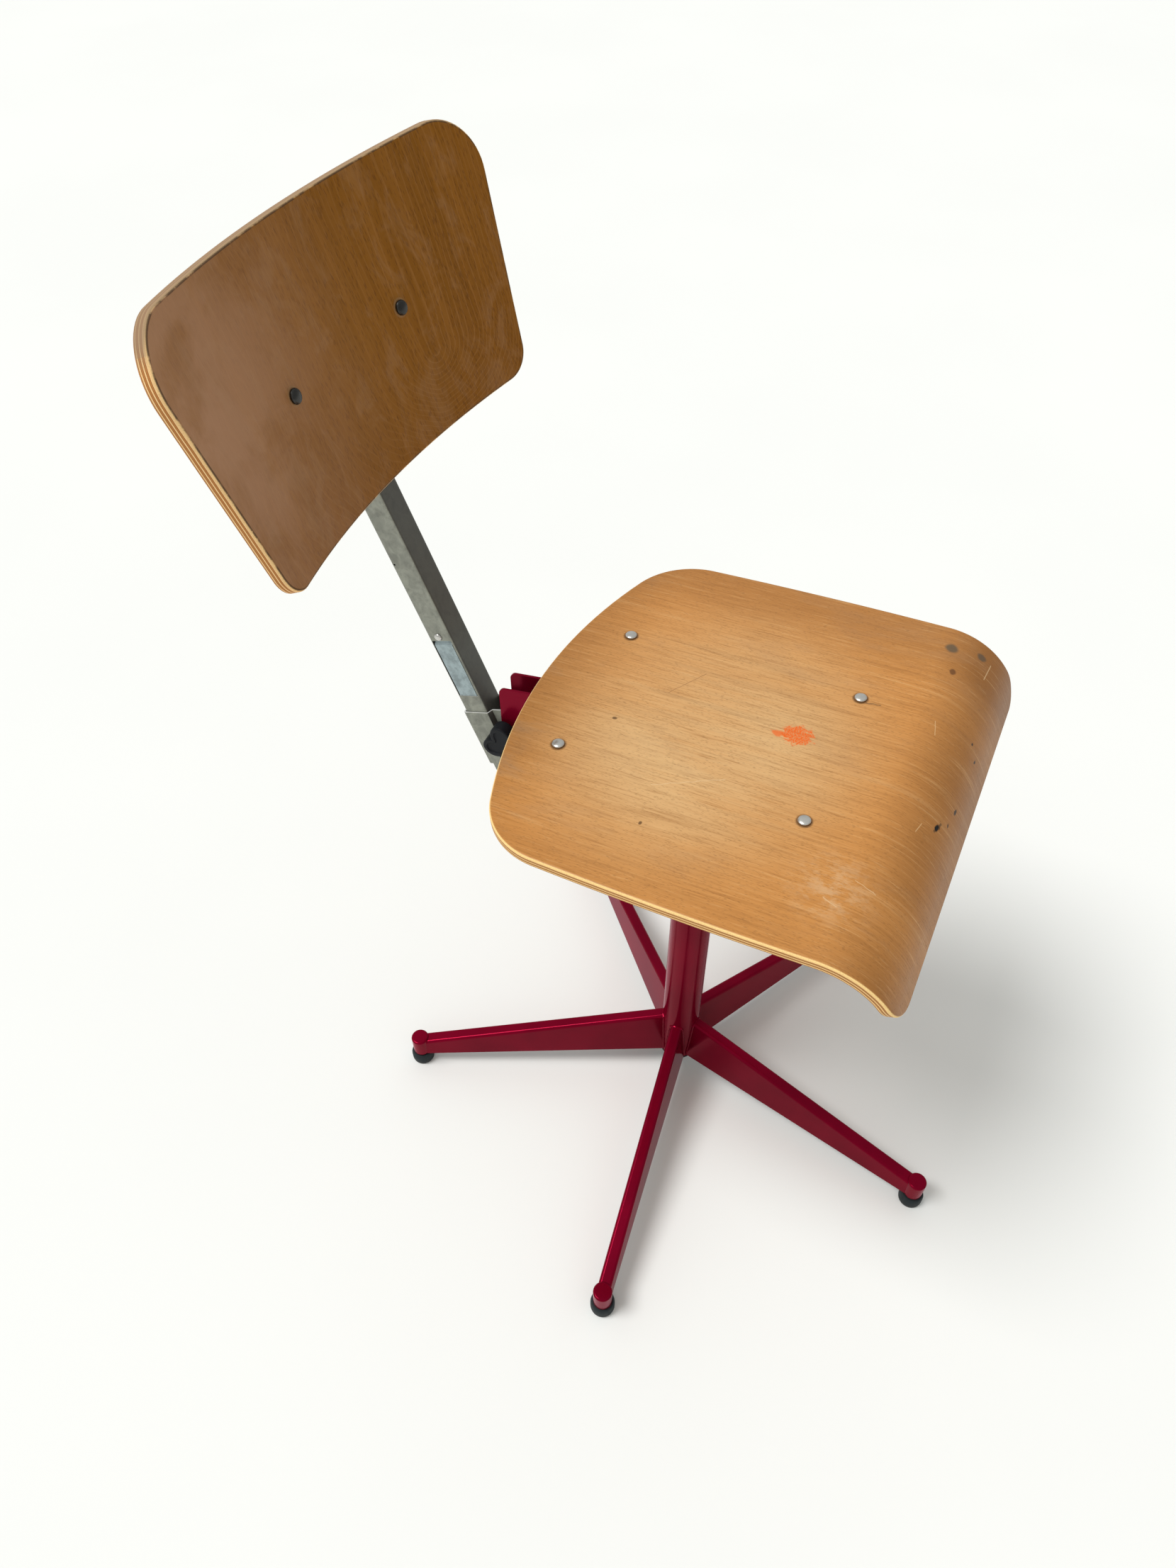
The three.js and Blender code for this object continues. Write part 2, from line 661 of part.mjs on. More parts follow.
const seatOutline = seatBlank().getPoints(8).map((p) => ({ s: p.y, t: p.x }));
const seatStations = stationsOf(seatOutline, 8, seatBendStart - seatBendR * bendTurn, seatBendStart);
const seatSheet = bentSheet(seatOutline, seatStations, 2, seatPly, seatPlace);
const seatScrews = [
  ['front_right', -seatScrewX, seatScrewFront], ['front_left', seatScrewX, seatScrewFront],
  ['rear_right', -seatScrewX, seatScrewRear], ['rear_left', seatScrewX, seatScrewRear],
];
const seatHoles = seatScrews.map(([, x, y]) => screwHole(x, y, -seatPly - past, past));
add(seatGroup, 'seat', cut(seatSheet, ...seatHoles), beech);

// A round-headed screw about +Z, its head seated on z = 0.
function headedScrew(headR, headHeight, shankR, length) {
  return turned([
    [0, -length], [shankR - chamfer, -length], [shankR, -length + chamfer], [shankR, gap], [headR, gap],
    [headR, gap + headHeight * 0.5], [headR - chamfer, gap + headHeight], [0, gap + headHeight],
  ], 24);
}

const seatNutTop = strapTop - strapThick - gap;
for (const [corner, x, y] of seatScrews) {
  const screw = headedScrew(seatHeadR, seatHeadHeight, woodScrewR, nutThick + threadEnd - seatNutTop);
  add(seatGroup, `seat_screw_${corner}`, screw.translate(x, y, 0), brightSteel);
  const seatNut = nut(nutAF, woodScrewR + gap, nutThick).translate(x, y, seatNutTop - nutThick);
  add(seatGroup, `seat_nut_${corner}`, seatNut, zinc);
}

// ---------------------------------------------------------------- back carrier and tilt clamp
const pivotPoint = new THREE.Vector3(0, pivotY, pivotZ).applyMatrix4(seatMatrix);
const pivotInStem = new THREE.Vector3(0, -stemSetback, pivotAlong);
const stemGroup = new THREE.Group();
stemGroup.rotation.x = -rad(stemLean);
stemGroup.position.copy(pivotPoint).sub(pivotInStem.clone().applyEuler(stemGroup.rotation));
stemGroup.updateMatrix();
chair.add(stemGroup);

// Carrier: a sheet folded round the stem's back, drawn in behind the ears and run forward to the pivot.
const carrierHalf = stemWidth / 2 + runGap + carrierSheet;

function carrierGeometry() {
  const outer = carrierHalf;
  const inner = outer - carrierSheet;
  const back = stemDepth / 2 + runGap;
  const front = -stemDepth / 2 - runGap;
  const neckOuter = half - channelWall - runGap - gap;
  const neckInner = neckOuter - carrierSheet;
  const nose = pivotInStem.y - cheekR;
  const bend = carrierSheet / 2;
  const slope = [front - bend, front - bend - neckSlope];
  const right = [
    [outer, slope[0], bend], [neckOuter, slope[1], bend], [neckOuter, nose], [neckInner, nose],
    [neckInner, slope[1] + bend, bend], [inner, slope[0] + bend, bend],
  ];
  const mirrored = right.map(([x, y, r]) => [-x, y, r]).reverse();
  const foldR = stemCorner + runGap;
  const section = roundedPolygon([
    [outer, back + carrierSheet, foldR], ...right, [inner, back, foldR - carrierSheet],
    [-inner, back, foldR - carrierSheet], ...mirrored, [-outer, back + carrierSheet, foldR],
  ]);
  const folded = prism(section, carrierBottom, carrierTop);
  const side = roundedPolygon([
    [back + past, carrierTop + past], [back + past, carrierBottom - past],
    [slope[1] + bend, carrierBottom - past],
    [slope[1] - 2 * bend, pivotInStem.z - cheekR, cheekR / 2], [nose, pivotInStem.z - cheekR, cheekR],
    [nose, carrierTop, cheekR * 0.75], [nose + cheekR, carrierTop], [nose + cheekR, carrierTop + past],
  ]);
  const keep = toSolid(slab(side, -outer - past, outer + past));
  const hole = turnToX(bar(pivotR + gap, -half - past, half + past, 24))
    .translate(0, pivotInStem.y, pivotInStem.z);
  return cut(toGeometry(toSolid(folded).intersect(keep)), hole);
}

add(stemGroup, 'back_carrier', carrierGeometry(), galvanised);

const washerInner = half + gap;
const washerOuter = washerInner + pivotWasher;
const boltGroup = new THREE.Group();
boltGroup.position.copy(pivotPoint);
chair.add(boltGroup);
const tiltKnobSeat = washerOuter + gap;
const tiltKnobHub = Math.max(carrierHalf, tiltKnobSeat) + tiltKnobAir - tiltKnobSeat;
const tiltBoreDepth = 0.7 * tiltKnobThick;
const boltLength = tiltKnobSeat + tiltBoreDepth - gap;
const boltHeadTop = tiltKnobSeat + pivotHeadHeight;
add(boltGroup, 'pivot_bolt', turnToX(turned([
  [0, -boltLength], [pivotR, -boltLength], [pivotR, tiltKnobSeat], [pivotHeadR, tiltKnobSeat],
  [pivotHeadR, boltHeadTop - 1.5 * chamfer], [pivotHeadR - 1.5 * chamfer, boltHeadTop], [0, boltHeadTop],
])), brightSteel);
const pivotRing = (from, to) => turnToX(ring(pivotR + gap, pivotWasherR, from, to, 24));
add(boltGroup, 'pivot_washer_left', pivotRing(washerInner, washerOuter), zinc);
add(boltGroup, 'pivot_washer_right', pivotRing(-washerOuter, -washerInner), zinc);

const tiltKnobBlank = crossKnob(tiltKnobR, tiltKnobThick, tiltKnobHub, pivotR + gap, tiltBoreDepth);
const tiltKnob = turnToX(tiltKnobBlank.rotateZ(rad(tiltKnobTurn)));
tiltKnob.rotateZ(Math.PI).translate(-tiltKnobSeat, 0, 0);
add(boltGroup, 'tilt_clamp_knob', tiltKnob, blackPlastic);

// ---------------------------------------------------------------- stem
const stemOuter = rectangle(stemWidth, stemDepth, stemCorner);
stemOuter.holes.push(new THREE.Path(
  rectangle(stemWidth - 2 * stemWall, stemDepth - 2 * stemWall, stemCorner - stemWall).getPoints(4).reverse(),
));
const wallFace = stemWidth / 2;
const windowWidth = stemDepth - 2 * stemWall - gap;
const windowTool = new THREE.BoxGeometry(2 * (stemWall + gap), windowWidth, windowTop - windowBottom)
  .translate(-wallFace, 0, (windowTop + windowBottom) / 2);
const wallToolEnd = -wallFace + 2 * (stemWall + leafSheet);
const wallTool = (radius) => turnToX(bar(radius, -wallFace - past, wallToolEnd, 16));
const rivetTool = wallTool(rivetR + gap).translate(0, rivetY, rivetAlong);
const sightTool = wallTool(sightHoleR).translate(0, sightHoleY, sightHoleAlong);
const stemTube = cut(prism(stemOuter, stemBottom, stemTop), windowTool, rivetTool, sightTool);
add(stemGroup, 'back_stem', stemTube, galvanised);

// Detent leaf: riveted inside the stem, and set out so that it fills the window.
const leafHalf = windowWidth / 2 - 3 * gap;
const leafBack = -wallFace + stemWall + gap;
const leafFace = -wallFace + gap;
const leafStep = windowTop - stemWall;
const leafSide = polygon([
  [leafBack, leafTop], [leafBack, leafStep],
  [leafFace, leafStep - 2 * leafSheet], [leafFace, windowBottom + gap],
  [leafFace + leafSheet, windowBottom + gap], [leafFace + leafSheet, leafStep - 1.6 * leafSheet],
  [leafBack + leafSheet, leafStep + 0.4 * leafSheet], [leafBack + leafSheet, leafTop],
]);
const leaf = prism(leafSide, -leafHalf, leafHalf).applyMatrix4(profileAlongY);
add(stemGroup, 'detent_leaf', cut(leaf, rivetTool), zinc);

const rivetSeat = -wallFace - gap;
const rivetInside = leafBack + leafSheet + gap;
const rivet = turned([
  [0, rivetSeat - rivetHeadHeight], [0.6 * rivetHeadR, rivetSeat - 0.75 * rivetHeadHeight],
  [0.92 * rivetHeadR, rivetSeat - 0.3 * rivetHeadHeight], [rivetHeadR, rivetSeat], [rivetR, rivetSeat],
  [rivetR, rivetInside], [rivetTailR, rivetInside], [rivetTailR, rivetInside + chamfer],
  [0, rivetInside + chamfer],
], 20);
add(stemGroup, 'detent_rivet', turnToX(rivet).translate(0, rivetY, rivetAlong), brightSteel);

// Moulded plugs for both ends: a flange over the tube's end and a spigot inside it.
function stemPlug(end, outward) {
  const bore = rectangle(stemWidth - 2 * stemWall - 2 * gap, stemDepth - 2 * stemWall - 2 * gap, chamfer);
  const over = rectangle(stemWidth, stemDepth, stemCorner);
  const flange = [end + outward * gap, end + outward * (gap + stemPlugFlange)].sort((p, q) => p - q);
  const spigot = [end - outward * stemPlugDepth, end + outward * stemPlugFlange / 2].sort((p, q) => p - q);
  return join(prism(over, ...flange), prism(bore, ...spigot));
}

add(stemGroup, 'stem_foot_plug', stemPlug(stemBottom, -1), blackPlastic);
add(stemGroup, 'stem_top_plug', stemPlug(stemTop, 1), blackPlastic);

// ---------------------------------------------------------------- backrest
const backGroup = new THREE.Group();
backGroup.position.set(0, -backStandoff, backAlong).applyMatrix4(stemGroup.matrix);
backGroup.rotation.x = -rad(backLean);
backGroup.updateMatrix();
chair.add(backGroup);

// Wraps (arc length, height, depth behind the front face) on to the curve, hollow towards the sitter.
function backPlace(arc, v, depth) {
  const a = arc / backR;
  const r = backR + depth;
  return new THREE.Vector3(r * Math.sin(a), r * Math.cos(a) - backR, v);
}

const backCrownR = 3000;
const backBlank = roundedPolygon([
  [-backHalfBottom, -backHalfHeight, backBottomCornerR], [backHalfBottom, -backHalfHeight, backBottomCornerR],
  [backHalfTop, backHalfHeight, backTopCornerR], [0, backHalfHeight + backCrown, backCrownR],
  [-backHalfTop, backHalfHeight, backTopCornerR],
]);
const backOutline = backBlank.getPoints(7).map((p) => ({ s: p.x, t: p.y }));
const backSheet = bentSheet(backOutline, stationsOf(backOutline, 20), 2, backPly, backPlace);

// A tool along the sheet's own normal where a screw goes through.
function atBackScrew(geometry, side) {
  const a = (side * backScrewArc) / backR;
  const foot = backPlace(side * backScrewArc, 0, 0);
  return geometry.clone().rotateX(Math.PI / 2).rotateZ(-a).translate(foot.x, foot.y, foot.z);
}

const backHole = bar(woodScrewR + gap, -backPly - past, past, 20);
const backHoleTools = [-1, 1].map((side) => atBackScrew(backHole, side));
add(backGroup, 'backrest', cut(backSheet, ...backHoleTools), beechDark);

// Back plate: a steel strap rolled to the backrest's rear face.
const plateDepth = backPly + gap;
const plateOutline = rectangle(2 * backPlateHalf, backPlateHeight, strapCorner).getPoints(6)
  .map((p) => ({ s: p.x, t: p.y }));
const plateStations = stationsOf(plateOutline, 16);
const behindBack = (extra) => (arc, v, depth) => backPlace(arc, v, depth + plateDepth + extra);
const plateSheet = bentSheet(plateOutline, plateStations, 2, backPlateThick, behindBack(0));
add(backGroup, 'back_plate', cut(plateSheet, ...backHoleTools), galvanised);

for (const [sideName, side] of [['right', -1], ['left', 1]]) {
  const length = backPly + backPlateThick + 3 * gap + nutThick + threadEnd;
  const screw = headedScrew(backHeadR, backHeadHeight, woodScrewR, length);
  add(backGroup, `back_screw_${sideName}`, atBackScrew(screw, side), brightSteel);
  const backNut = nut(nutAF, woodScrewR + gap, nutThick)
    .translate(0, 0, -(backPly + backPlateThick + 3.5 * gap + nutThick));
  add(backGroup, `back_nut_${sideName}`, atBackScrew(backNut, side), zinc);
}

// Bracket block between the stem's front face and the plate.
const blockWidth = stemWidth - blockInset;
const blockHeight = backPlateHeight - blockInset;
const blockReach = backStandoff - plateDepth;
const stemFront = new THREE.BoxGeometry(3 * stemWidth, stemDepth + 2 * gap, 4 * backPlateHeight)
  .translate(0, 0, backAlong).applyMatrix4(stemGroup.matrix).applyMatrix4(backGroup.matrix.clone().invert());
const tallPlate = plateOutline.map(({ s, t }) => ({ s, t: 2 * t }));
const plateTool = bentSheet(tallPlate, plateStations, 2, past, behindBack(backPlateThick + gap - past));
const block = new THREE.BoxGeometry(blockWidth, blockReach, blockHeight)
  .translate(0, plateDepth + blockReach / 2, 0);
add(backGroup, 'back_block', cut(block, stemFront, plateTool), galvanised);

// ---------------------------------------------------------------- footprint centred on the origin
const bounds = new THREE.Box3().setFromObject(chair, true);
const middle = bounds.getCenter(new THREE.Vector3());
chair.position.set(-middle.x, -middle.y, -bounds.min.z);

export default chair;
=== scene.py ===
import json
from math import atan2, cos, hypot, pi, radians, sin, sqrt, tan

import bmesh
import bpy
from mathutils import Matrix, Vector

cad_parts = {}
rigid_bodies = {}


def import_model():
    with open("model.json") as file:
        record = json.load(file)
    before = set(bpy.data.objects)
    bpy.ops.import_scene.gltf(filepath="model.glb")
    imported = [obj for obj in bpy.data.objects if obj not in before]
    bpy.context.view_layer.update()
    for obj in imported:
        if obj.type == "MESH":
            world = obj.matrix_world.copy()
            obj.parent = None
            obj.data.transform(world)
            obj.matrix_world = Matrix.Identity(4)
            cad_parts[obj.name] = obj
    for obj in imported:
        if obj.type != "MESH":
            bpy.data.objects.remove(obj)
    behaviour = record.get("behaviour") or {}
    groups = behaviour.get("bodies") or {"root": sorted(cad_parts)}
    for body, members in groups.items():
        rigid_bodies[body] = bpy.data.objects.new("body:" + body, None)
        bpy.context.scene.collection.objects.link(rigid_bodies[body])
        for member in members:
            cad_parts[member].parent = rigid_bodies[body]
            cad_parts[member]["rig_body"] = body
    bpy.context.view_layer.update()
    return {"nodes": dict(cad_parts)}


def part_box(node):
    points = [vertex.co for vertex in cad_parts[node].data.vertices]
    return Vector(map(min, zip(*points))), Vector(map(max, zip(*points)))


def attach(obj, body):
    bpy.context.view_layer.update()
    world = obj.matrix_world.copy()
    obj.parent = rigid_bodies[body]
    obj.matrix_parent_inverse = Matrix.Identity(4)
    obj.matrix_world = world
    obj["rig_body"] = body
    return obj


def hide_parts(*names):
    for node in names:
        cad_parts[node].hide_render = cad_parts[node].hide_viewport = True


bl_info = {
    "name": "Drafting chair",
    "version": (1, 0, 0),
    "blender": (4, 5, 0),
    "location": "View3D > Sidebar > Chair",
    "description": "Builds a five-legged plywood drafting chair round its CAD frame",
    "category": "Object",
}

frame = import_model()

LEG_COUNT = 5
SMOOTH_ANGLE = radians(38)     # edges sharper than this stay crisp

# sizes of fittings, in metres
BOSS_BORE = 0.0043              # of the foot bosses and of the clamp's boss
BOSS_DEPTH = 0.017              # of the bore, from a foot boss's underside
GLIDE_SHOULDER = 0.0167         # top of a glide's broad part
GLIDE_PEG = 0.004
COLUMN_WALL = 0.002
PLUG_GAP = 0.0023               # from the column's face to a plug in its bore
BUSH_RUN = 0.00035              # between the pillar and its bush
PILLAR_WALL = 0.003
SPINDLE_BORE = 0.0093           # of the thrust washer
SOCKET_BORE = 0.00935
SCREW_SHANK = 0.003
THREAD_PITCH = 0.00125
HEIGHT_KNOB_HUB = 0.0018
TILT_KNOB_RADIUS = 0.026
TILT_KNOB_HUB = 0.00185
PIVOT_SHANK, PIVOT_HEAD, PIVOT_HEAD_HEIGHT = 0.004, 0.007, 0.0046
WASHER_BORE, WASHER_RADIUS = 0.0043, 0.008
RIVET_PLACE = (0.0013, -0.0925)  # across and along the stem from its own middle
RIVET_DEPTH = 0.0048            # of the rivet's inner head under the stem's face

# stage
FLOOR_HALF = 12.0
FLOOR_DROP = 0.0002             # keeps the floor clear of the glides
SUN_PLACE = (-1.0, 1.5, 3.0)
SUN_DIRECTION = (0.30, -0.45, -1.0)


def middle(node):
    """The middle of a CAD node's box."""
    low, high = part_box(node)
    return (low + high) / 2


def length(name, description, default):
    return bpy.props.FloatProperty(
        name=name, description=description, default=default, unit="LENGTH", precision=4, min=0.0)


def angle(name, description, default):
    return bpy.props.FloatProperty(
        name=name, description=description, default=radians(default), subtype="ANGLE")


def colour(name, description, default):
    return bpy.props.FloatVectorProperty(
        name=name, description=description, default=default, subtype="COLOR", min=0.0, max=1.0)


def share(name, description, default):
    return bpy.props.FloatProperty(
        name=name, description=description, default=default, subtype="FACTOR", min=0.0, max=1.0)


# ---------------------------------------------------------------- sizes and colours a user may change
class PedestalSettings(bpy.types.PropertyGroup):
    ridge_top_hub: length(
        "Ridge at the column", "Height of a leg's ridge where it meets the column",
        0.1015)
    ridge_top_foot: length("Ridge at the foot", "Height of a leg's ridge over its foot", 0.043)
    floor_hub: length(
        "Lower edge at the column", "Height of a leg's lower edges at the column",
        0.033)
    floor_foot: length("Lower edge at the foot", "Height of a leg's lower edges at the foot", 0.018)
    ridge_hub: length("Ridge width at the column", "Width over the rounded ridge", 0.013)
    ridge_foot: length("Ridge width at the foot", "Width over the rounded ridge", 0.0145)
    flare_hub: length("Width at the column", "Width over the lower edges", 0.0244)
    flare_foot: length("Width at the foot", "Width over the lower edges", 0.0164)
    sheet: length("Sheet", "Thickness of the folded legs", 0.002)
    fold: length("Fold", "Size of the rounding beside the ridge", 0.0034)
    bead: length("Weld bead", "Radius of the weld beads", 0.0016)
    boss_edge: length("Boss edge", "Rounding of a foot boss's top", 0.0024)
    enamel: colour("Enamel", "Gloss paint on legs, column and bracket", (0.172, 0.0010, 0.0140))
    rubber: colour("Rubber", "Glides under the feet", (0.013, 0.019, 0.021))
    plastic: colour("Plastic", "Knobs, bush and plugs", (0.0065, 0.0075, 0.0095))


class SeatSettings(bpy.types.PropertyGroup):
    height: length("Height", "Top of the seat over the column's axis", 0.6069)
    pitch: angle("Pitch", "How far the rear edge lies lower", 2.82)
    half_width: length("Half width", "From the middle to a side at the corners", 0.2015)
    belly: length("Belly", "How far each side bows out", 0.003)
    rear: length("Rear", "From the column's axis to the middle of the rear edge", 0.168)
    rear_bow: length("Rear bow", "How far the rear edge bows out", 0.0245)
    rear_corner: length("Rear corners", "Radius of the rear corners", 0.069)
    front_corner: length("Front corners", "Radius of the front corners", 0.029)
    bend_start: length(
        "Bend", "From the column's axis forward to where the front turns down",
        0.159)
    bend_radius: length("Bend radius", "Radius of the front's bend on its upper side", 0.074)
    bend_angle: angle("Bend angle", "How far the front turns down", 65.3)
    lip: length("Lip", "Straight stretch past the bend", 0.015)
    ply: length("Plywood", "Thickness of the board", 0.010)
    rim: length("Rim", "Rounding of the board's upper rim", 0.0024)
    screw_x: length("Screws apart", "From the middle to a screw", 0.078)
    screw_front: length(
        "Front screws", "From the column's axis forward to the front screws",
        0.1105)
    screw_rear: length("Rear screws", "From the column's axis back to the rear screws", 0.1137)
    honey: colour("Honey", "Lacquered beech where it is little worn", (0.575, 0.252, 0.066))
    pale: colour("Worn", "Beech where sitting has paled it", (0.690, 0.430, 0.195))
    # Also the colour that the painted shade over the seat's front bend and sides goes towards.
    brown: colour("Darkened", "Beech where the lacquer has darkened", (0.300, 0.122, 0.029))


class BackSettings(bpy.types.PropertyGroup):
    lean: angle("Lean", "Backrest's lean to the rear", 18.8)
    radius: length("Hollow", "Radius of the hollow front face", 0.590)
    half_top: length("Half width at the top", "Along the curve", 0.2196)
    half_bottom: length("Half width at the bottom", "Along the curve", 0.1868)
    half_height: length("Half height", "From the screws' line to the upper edge", 0.1091)
    crown: length("Crown", "How far the upper edge bows up", 0.002)
    top_corner: length("Upper corners", "Radius of the upper corners", 0.046)
    bottom_corner: length("Lower corners", "Radius of the lower corners", 0.026)
    ply: length("Plywood", "Thickness of the board", 0.010)
    rim: length("Rim", "Rounding of the board's front rim", 0.0026)
    screw_arc: length("Screws apart", "From the middle to a screw, along the curve", 0.0754)
    along: length("Place on the stem", "Screws' line over the stem's own middle", 0.1788)
    standoff: length("Standoff", "From the stem's axis to the front face", 0.0368)
    brown: colour("Brown", "Stained beech of the backrest", (0.245, 0.094, 0.0095))
    pale: colour("Lighter brown", "Stained beech where the light grain runs", (0.345, 0.160, 0.048))
    dark: colour("Dark grain", "Flecks and grain lines", (0.085, 0.026, 0.006))


class StemSettings(bpy.types.PropertyGroup):
    lean: angle("Lean", "Stem's lean to the rear", 20.7)
    setback: length("Setback", "From the tilt pivot back to the stem's axis", 0.0298)
    drop: length("Drop", "From the stem's own middle down to the pivot", 0.2165)
    half_width: length("Half width", "From the stem's axis to its side", 0.013)
    half_depth: length("Half depth", "From the stem's axis to its front", 0.0135)
    edge: length("Edges", "Rounding of sheet edges", 0.0005)
    steel: colour("Galvanised steel", "Stem, carrier and back plate", (0.262, 0.268, 0.226))
    zinc: colour("Zinc", "Washers, nuts and detent leaf", (0.285, 0.345, 0.358))
    nickel: colour("Bright steel", "Pillar and screw heads", (0.560, 0.550, 0.520))


class KnobSettings(bpy.types.PropertyGroup):
    waist: share("Waist", "Depth of the notches between the lobes, as a share of the radius", 0.62)
    hub: share("Hub", "Radius of the hub, as a share of the radius", 0.42)
    edge: length("Edge", "Rounding of the lobes' edges", 0.0015)
    step: length("Step", "Depth of the sunk middle", 0.0011)
    turn: angle("Tilt knob's turn", "Direction of one lobe of the tilt knob", 20)


class StageSettings(bpy.types.PropertyGroup):
    camera_x: bpy.props.FloatProperty(name="Camera X", description="Camera's place",
                                      default=-0.672514, unit="LENGTH")
    camera_y: bpy.props.FloatProperty(name="Camera Y", description="Camera's place",
                                      default=-0.245759, unit="LENGTH")
    camera_z: bpy.props.FloatProperty(name="Camera Z", description="Camera's place",
                                      default=1.347, unit="LENGTH")
    yaw: angle("Yaw", "Camera's direction from +X", 25.972)
    down: angle("Down", "How far the camera looks down", 49.068)
    roll: angle("Roll", "Camera's roll", 0.5157)
    lens: bpy.props.FloatProperty(name="Lens", description="Focal length on a 36 mm sensor, in mm",
                                  default=26.686)
    floor: colour("Floor", "Pale studio floor", (0.885, 0.889, 0.864))
    key: bpy.props.FloatProperty(name="Key light", description="Strength of the soft key light",
                                 default=1.95)
    softness: angle("Softness", "How large the key light looks from the chair", 25)
    sky: bpy.props.FloatProperty(name="Surround", description="Strength of the studio's white surround",
                                 default=0.615)


GROUPS = {
    "pedestal": PedestalSettings, "seat": SeatSettings, "back": BackSettings,
    "stem": StemSettings, "knobs": KnobSettings, "stage": StageSettings,
}


def settings(group):
    return getattr(bpy.context.scene, "drafting_chair_" + group)


# ---------------------------------------------------------------- shader maths
class Value:
    """An output socket. Sums on it add Math nodes."""

    def __init__(self, shader, socket):
        self.shader = shader
        self.socket = socket

    def maths(self, operation, first, second=0.0):
        return self.shader.node("ShaderNodeMath", {"operation": operation}, {0: first, 1: second})

    def __add__(self, other):
        return self.maths("ADD", self, other)

    def __sub__(self, other):
        return self.maths("SUBTRACT", self, other)

    def __mul__(self, other):
        return self.maths("MULTIPLY", self, other)

    def __truediv__(self, other):
        return self.maths("DIVIDE", self, other)

    def __pow__(self, other):
        return self.maths("POWER", self, other)

    def __rsub__(self, other):
        return self.maths("SUBTRACT", other, self)

    def __rtruediv__(self, other):
        return self.maths("DIVIDE", other, self)

    __radd__ = __add__
    __rmul__ = __mul__


class Shader:
    """A material's node tree, and the few moves that its patterns are made of."""

    def __init__(self, name, tree=None):
        if tree is None:
            self.material = bpy.data.materials.new(name)
            self.material.use_nodes = True
            tree = self.material.node_tree
        self.tree = tree
        self.tree.nodes.clear()

    def node(self, kind, given=None, sockets=None, output=0):
        made = self.tree.nodes.new(kind)
        for key, value in (given or {}).items():
            if key == "stops":
                ramp = made.color_ramp.elements
                while len(ramp) < len(value):
                    ramp.new(1.0)
                for element, (place, shade) in zip(ramp, value):
                    element.position = place
                    element.color = (*shade, 1.0)
            else:
                setattr(made, key, value)
        for key, value in (sockets or {}).items():
            if isinstance(value, Value):
                self.tree.links.new(value.socket, made.inputs[key])
            else:
                made.inputs[key].default_value = value
        return Value(self, made.outputs[output])

    def place(self):
        """Object coordinates."""
        return self.node("ShaderNodeTexCoord", output=3)

    def facing(self, direction):
        """How far the surface faces a direction, from -1 to 1."""
        normal = self.node("ShaderNodeTexCoord", output=1)
        return self.node("ShaderNodeVectorMath", {"operation": "DOT_PRODUCT"},
                         {0: normal, 1: direction}, output=1)

    def mapped(self, coords, scale=(1, 1, 1), turn=(0, 0, 0), shift=(0, 0, 0)):
        return self.node("ShaderNodeMapping", None,
                         {"Vector": coords, "Location": shift, "Rotation": turn, "Scale": scale})

    def noise(self, coords, scale=1.0, detail=3.0, roughness=0.5, distortion=0.0):
        return self.node("ShaderNodeTexNoise", None, {
            "Vector": coords, "Scale": scale, "Detail": detail,
            "Roughness": roughness, "Distortion": distortion})

    def cells(self, coords, scale=1.0, output=0):
        return self.node("ShaderNodeTexVoronoi", None, {"Vector": coords, "Scale": scale}, output=output)

    def parts(self, vector):
        """The three numbers of a vector."""
        first = self.node("ShaderNodeSeparateXYZ", None, {0: vector})
        return [Value(self, socket) for socket in first.socket.node.outputs]

    def ranged(self, value, low, high, to_low=0.0, to_high=1.0):
        return self.node("ShaderNodeMapRange", {"interpolation_type": "SMOOTHSTEP"}, {
            "Value": value, "From Min": low, "From Max": high, "To Min": to_low, "To Max": to_high})

    def ramp(self, value, stops):
        return self.node("ShaderNodeValToRGB", {"stops": stops}, {0: value})

    def blend(self, factor, first, second, way="MIX"):
        """Two colours mixed."""
        return self.node("ShaderNodeMix", {"data_type": "RGBA", "blend_type": way}, {
            0: factor, 6: self.rgba(first), 7: self.rgba(second)}, output=2)

    @staticmethod
    def rgba(shade):
        return shade if isinstance(shade, Value) else (*shade[:3], 1.0)

    def spot(self, u, v, centre, reach, soft=0.4):
        """1 inside an ellipse about centre, falling to 0 at its rim."""
        across = (u - centre[0]) / reach[0]
        along = (v - centre[1]) / reach[1]
        away = (across * across + along * along) ** 0.5
        return self.ranged(away, 1.0, 1.0 - soft)

    def stroke(self, u, v, start, end, half_width):
        """1 along a scratch from start to end."""
        run = Vector(end) - Vector(start)
        across = u - start[0]
        along = v - start[1]
        gone = ((across * run.x) + (along * run.y)) / run.length_squared
        gone = self.node("ShaderNodeClamp", None, {0: gone})
        off_u = across - gone * run.x
        off_v = along - gone * run.y
        away = (off_u * off_u + off_v * off_v) ** 0.5
        return self.ranged(away, half_width, half_width * 0.3)

    def bump(self, height, strength, distance, under=None):
        sockets = {"Strength": strength, "Distance": distance, "Height": height}
        if under is not None:
            sockets["Normal"] = under
        return self.node("ShaderNodeBump", None, sockets)

    def surface(self, **sockets):
        """The principled shader and the output."""
        named = {key.replace("_", " ").title().replace("Ior", "IOR"): value
                 for key, value in sockets.items()}
        shade = self.node("ShaderNodeBsdfPrincipled", None, named)
        out = self.tree.nodes.new("ShaderNodeOutputMaterial")
        self.tree.links.new(shade.socket, out.inputs["Surface"])
        return self.material


def tint(shade, factor):
    """A colour made lighter or darker."""
    return tuple(min(1.0, part * factor) for part in shade[:3])


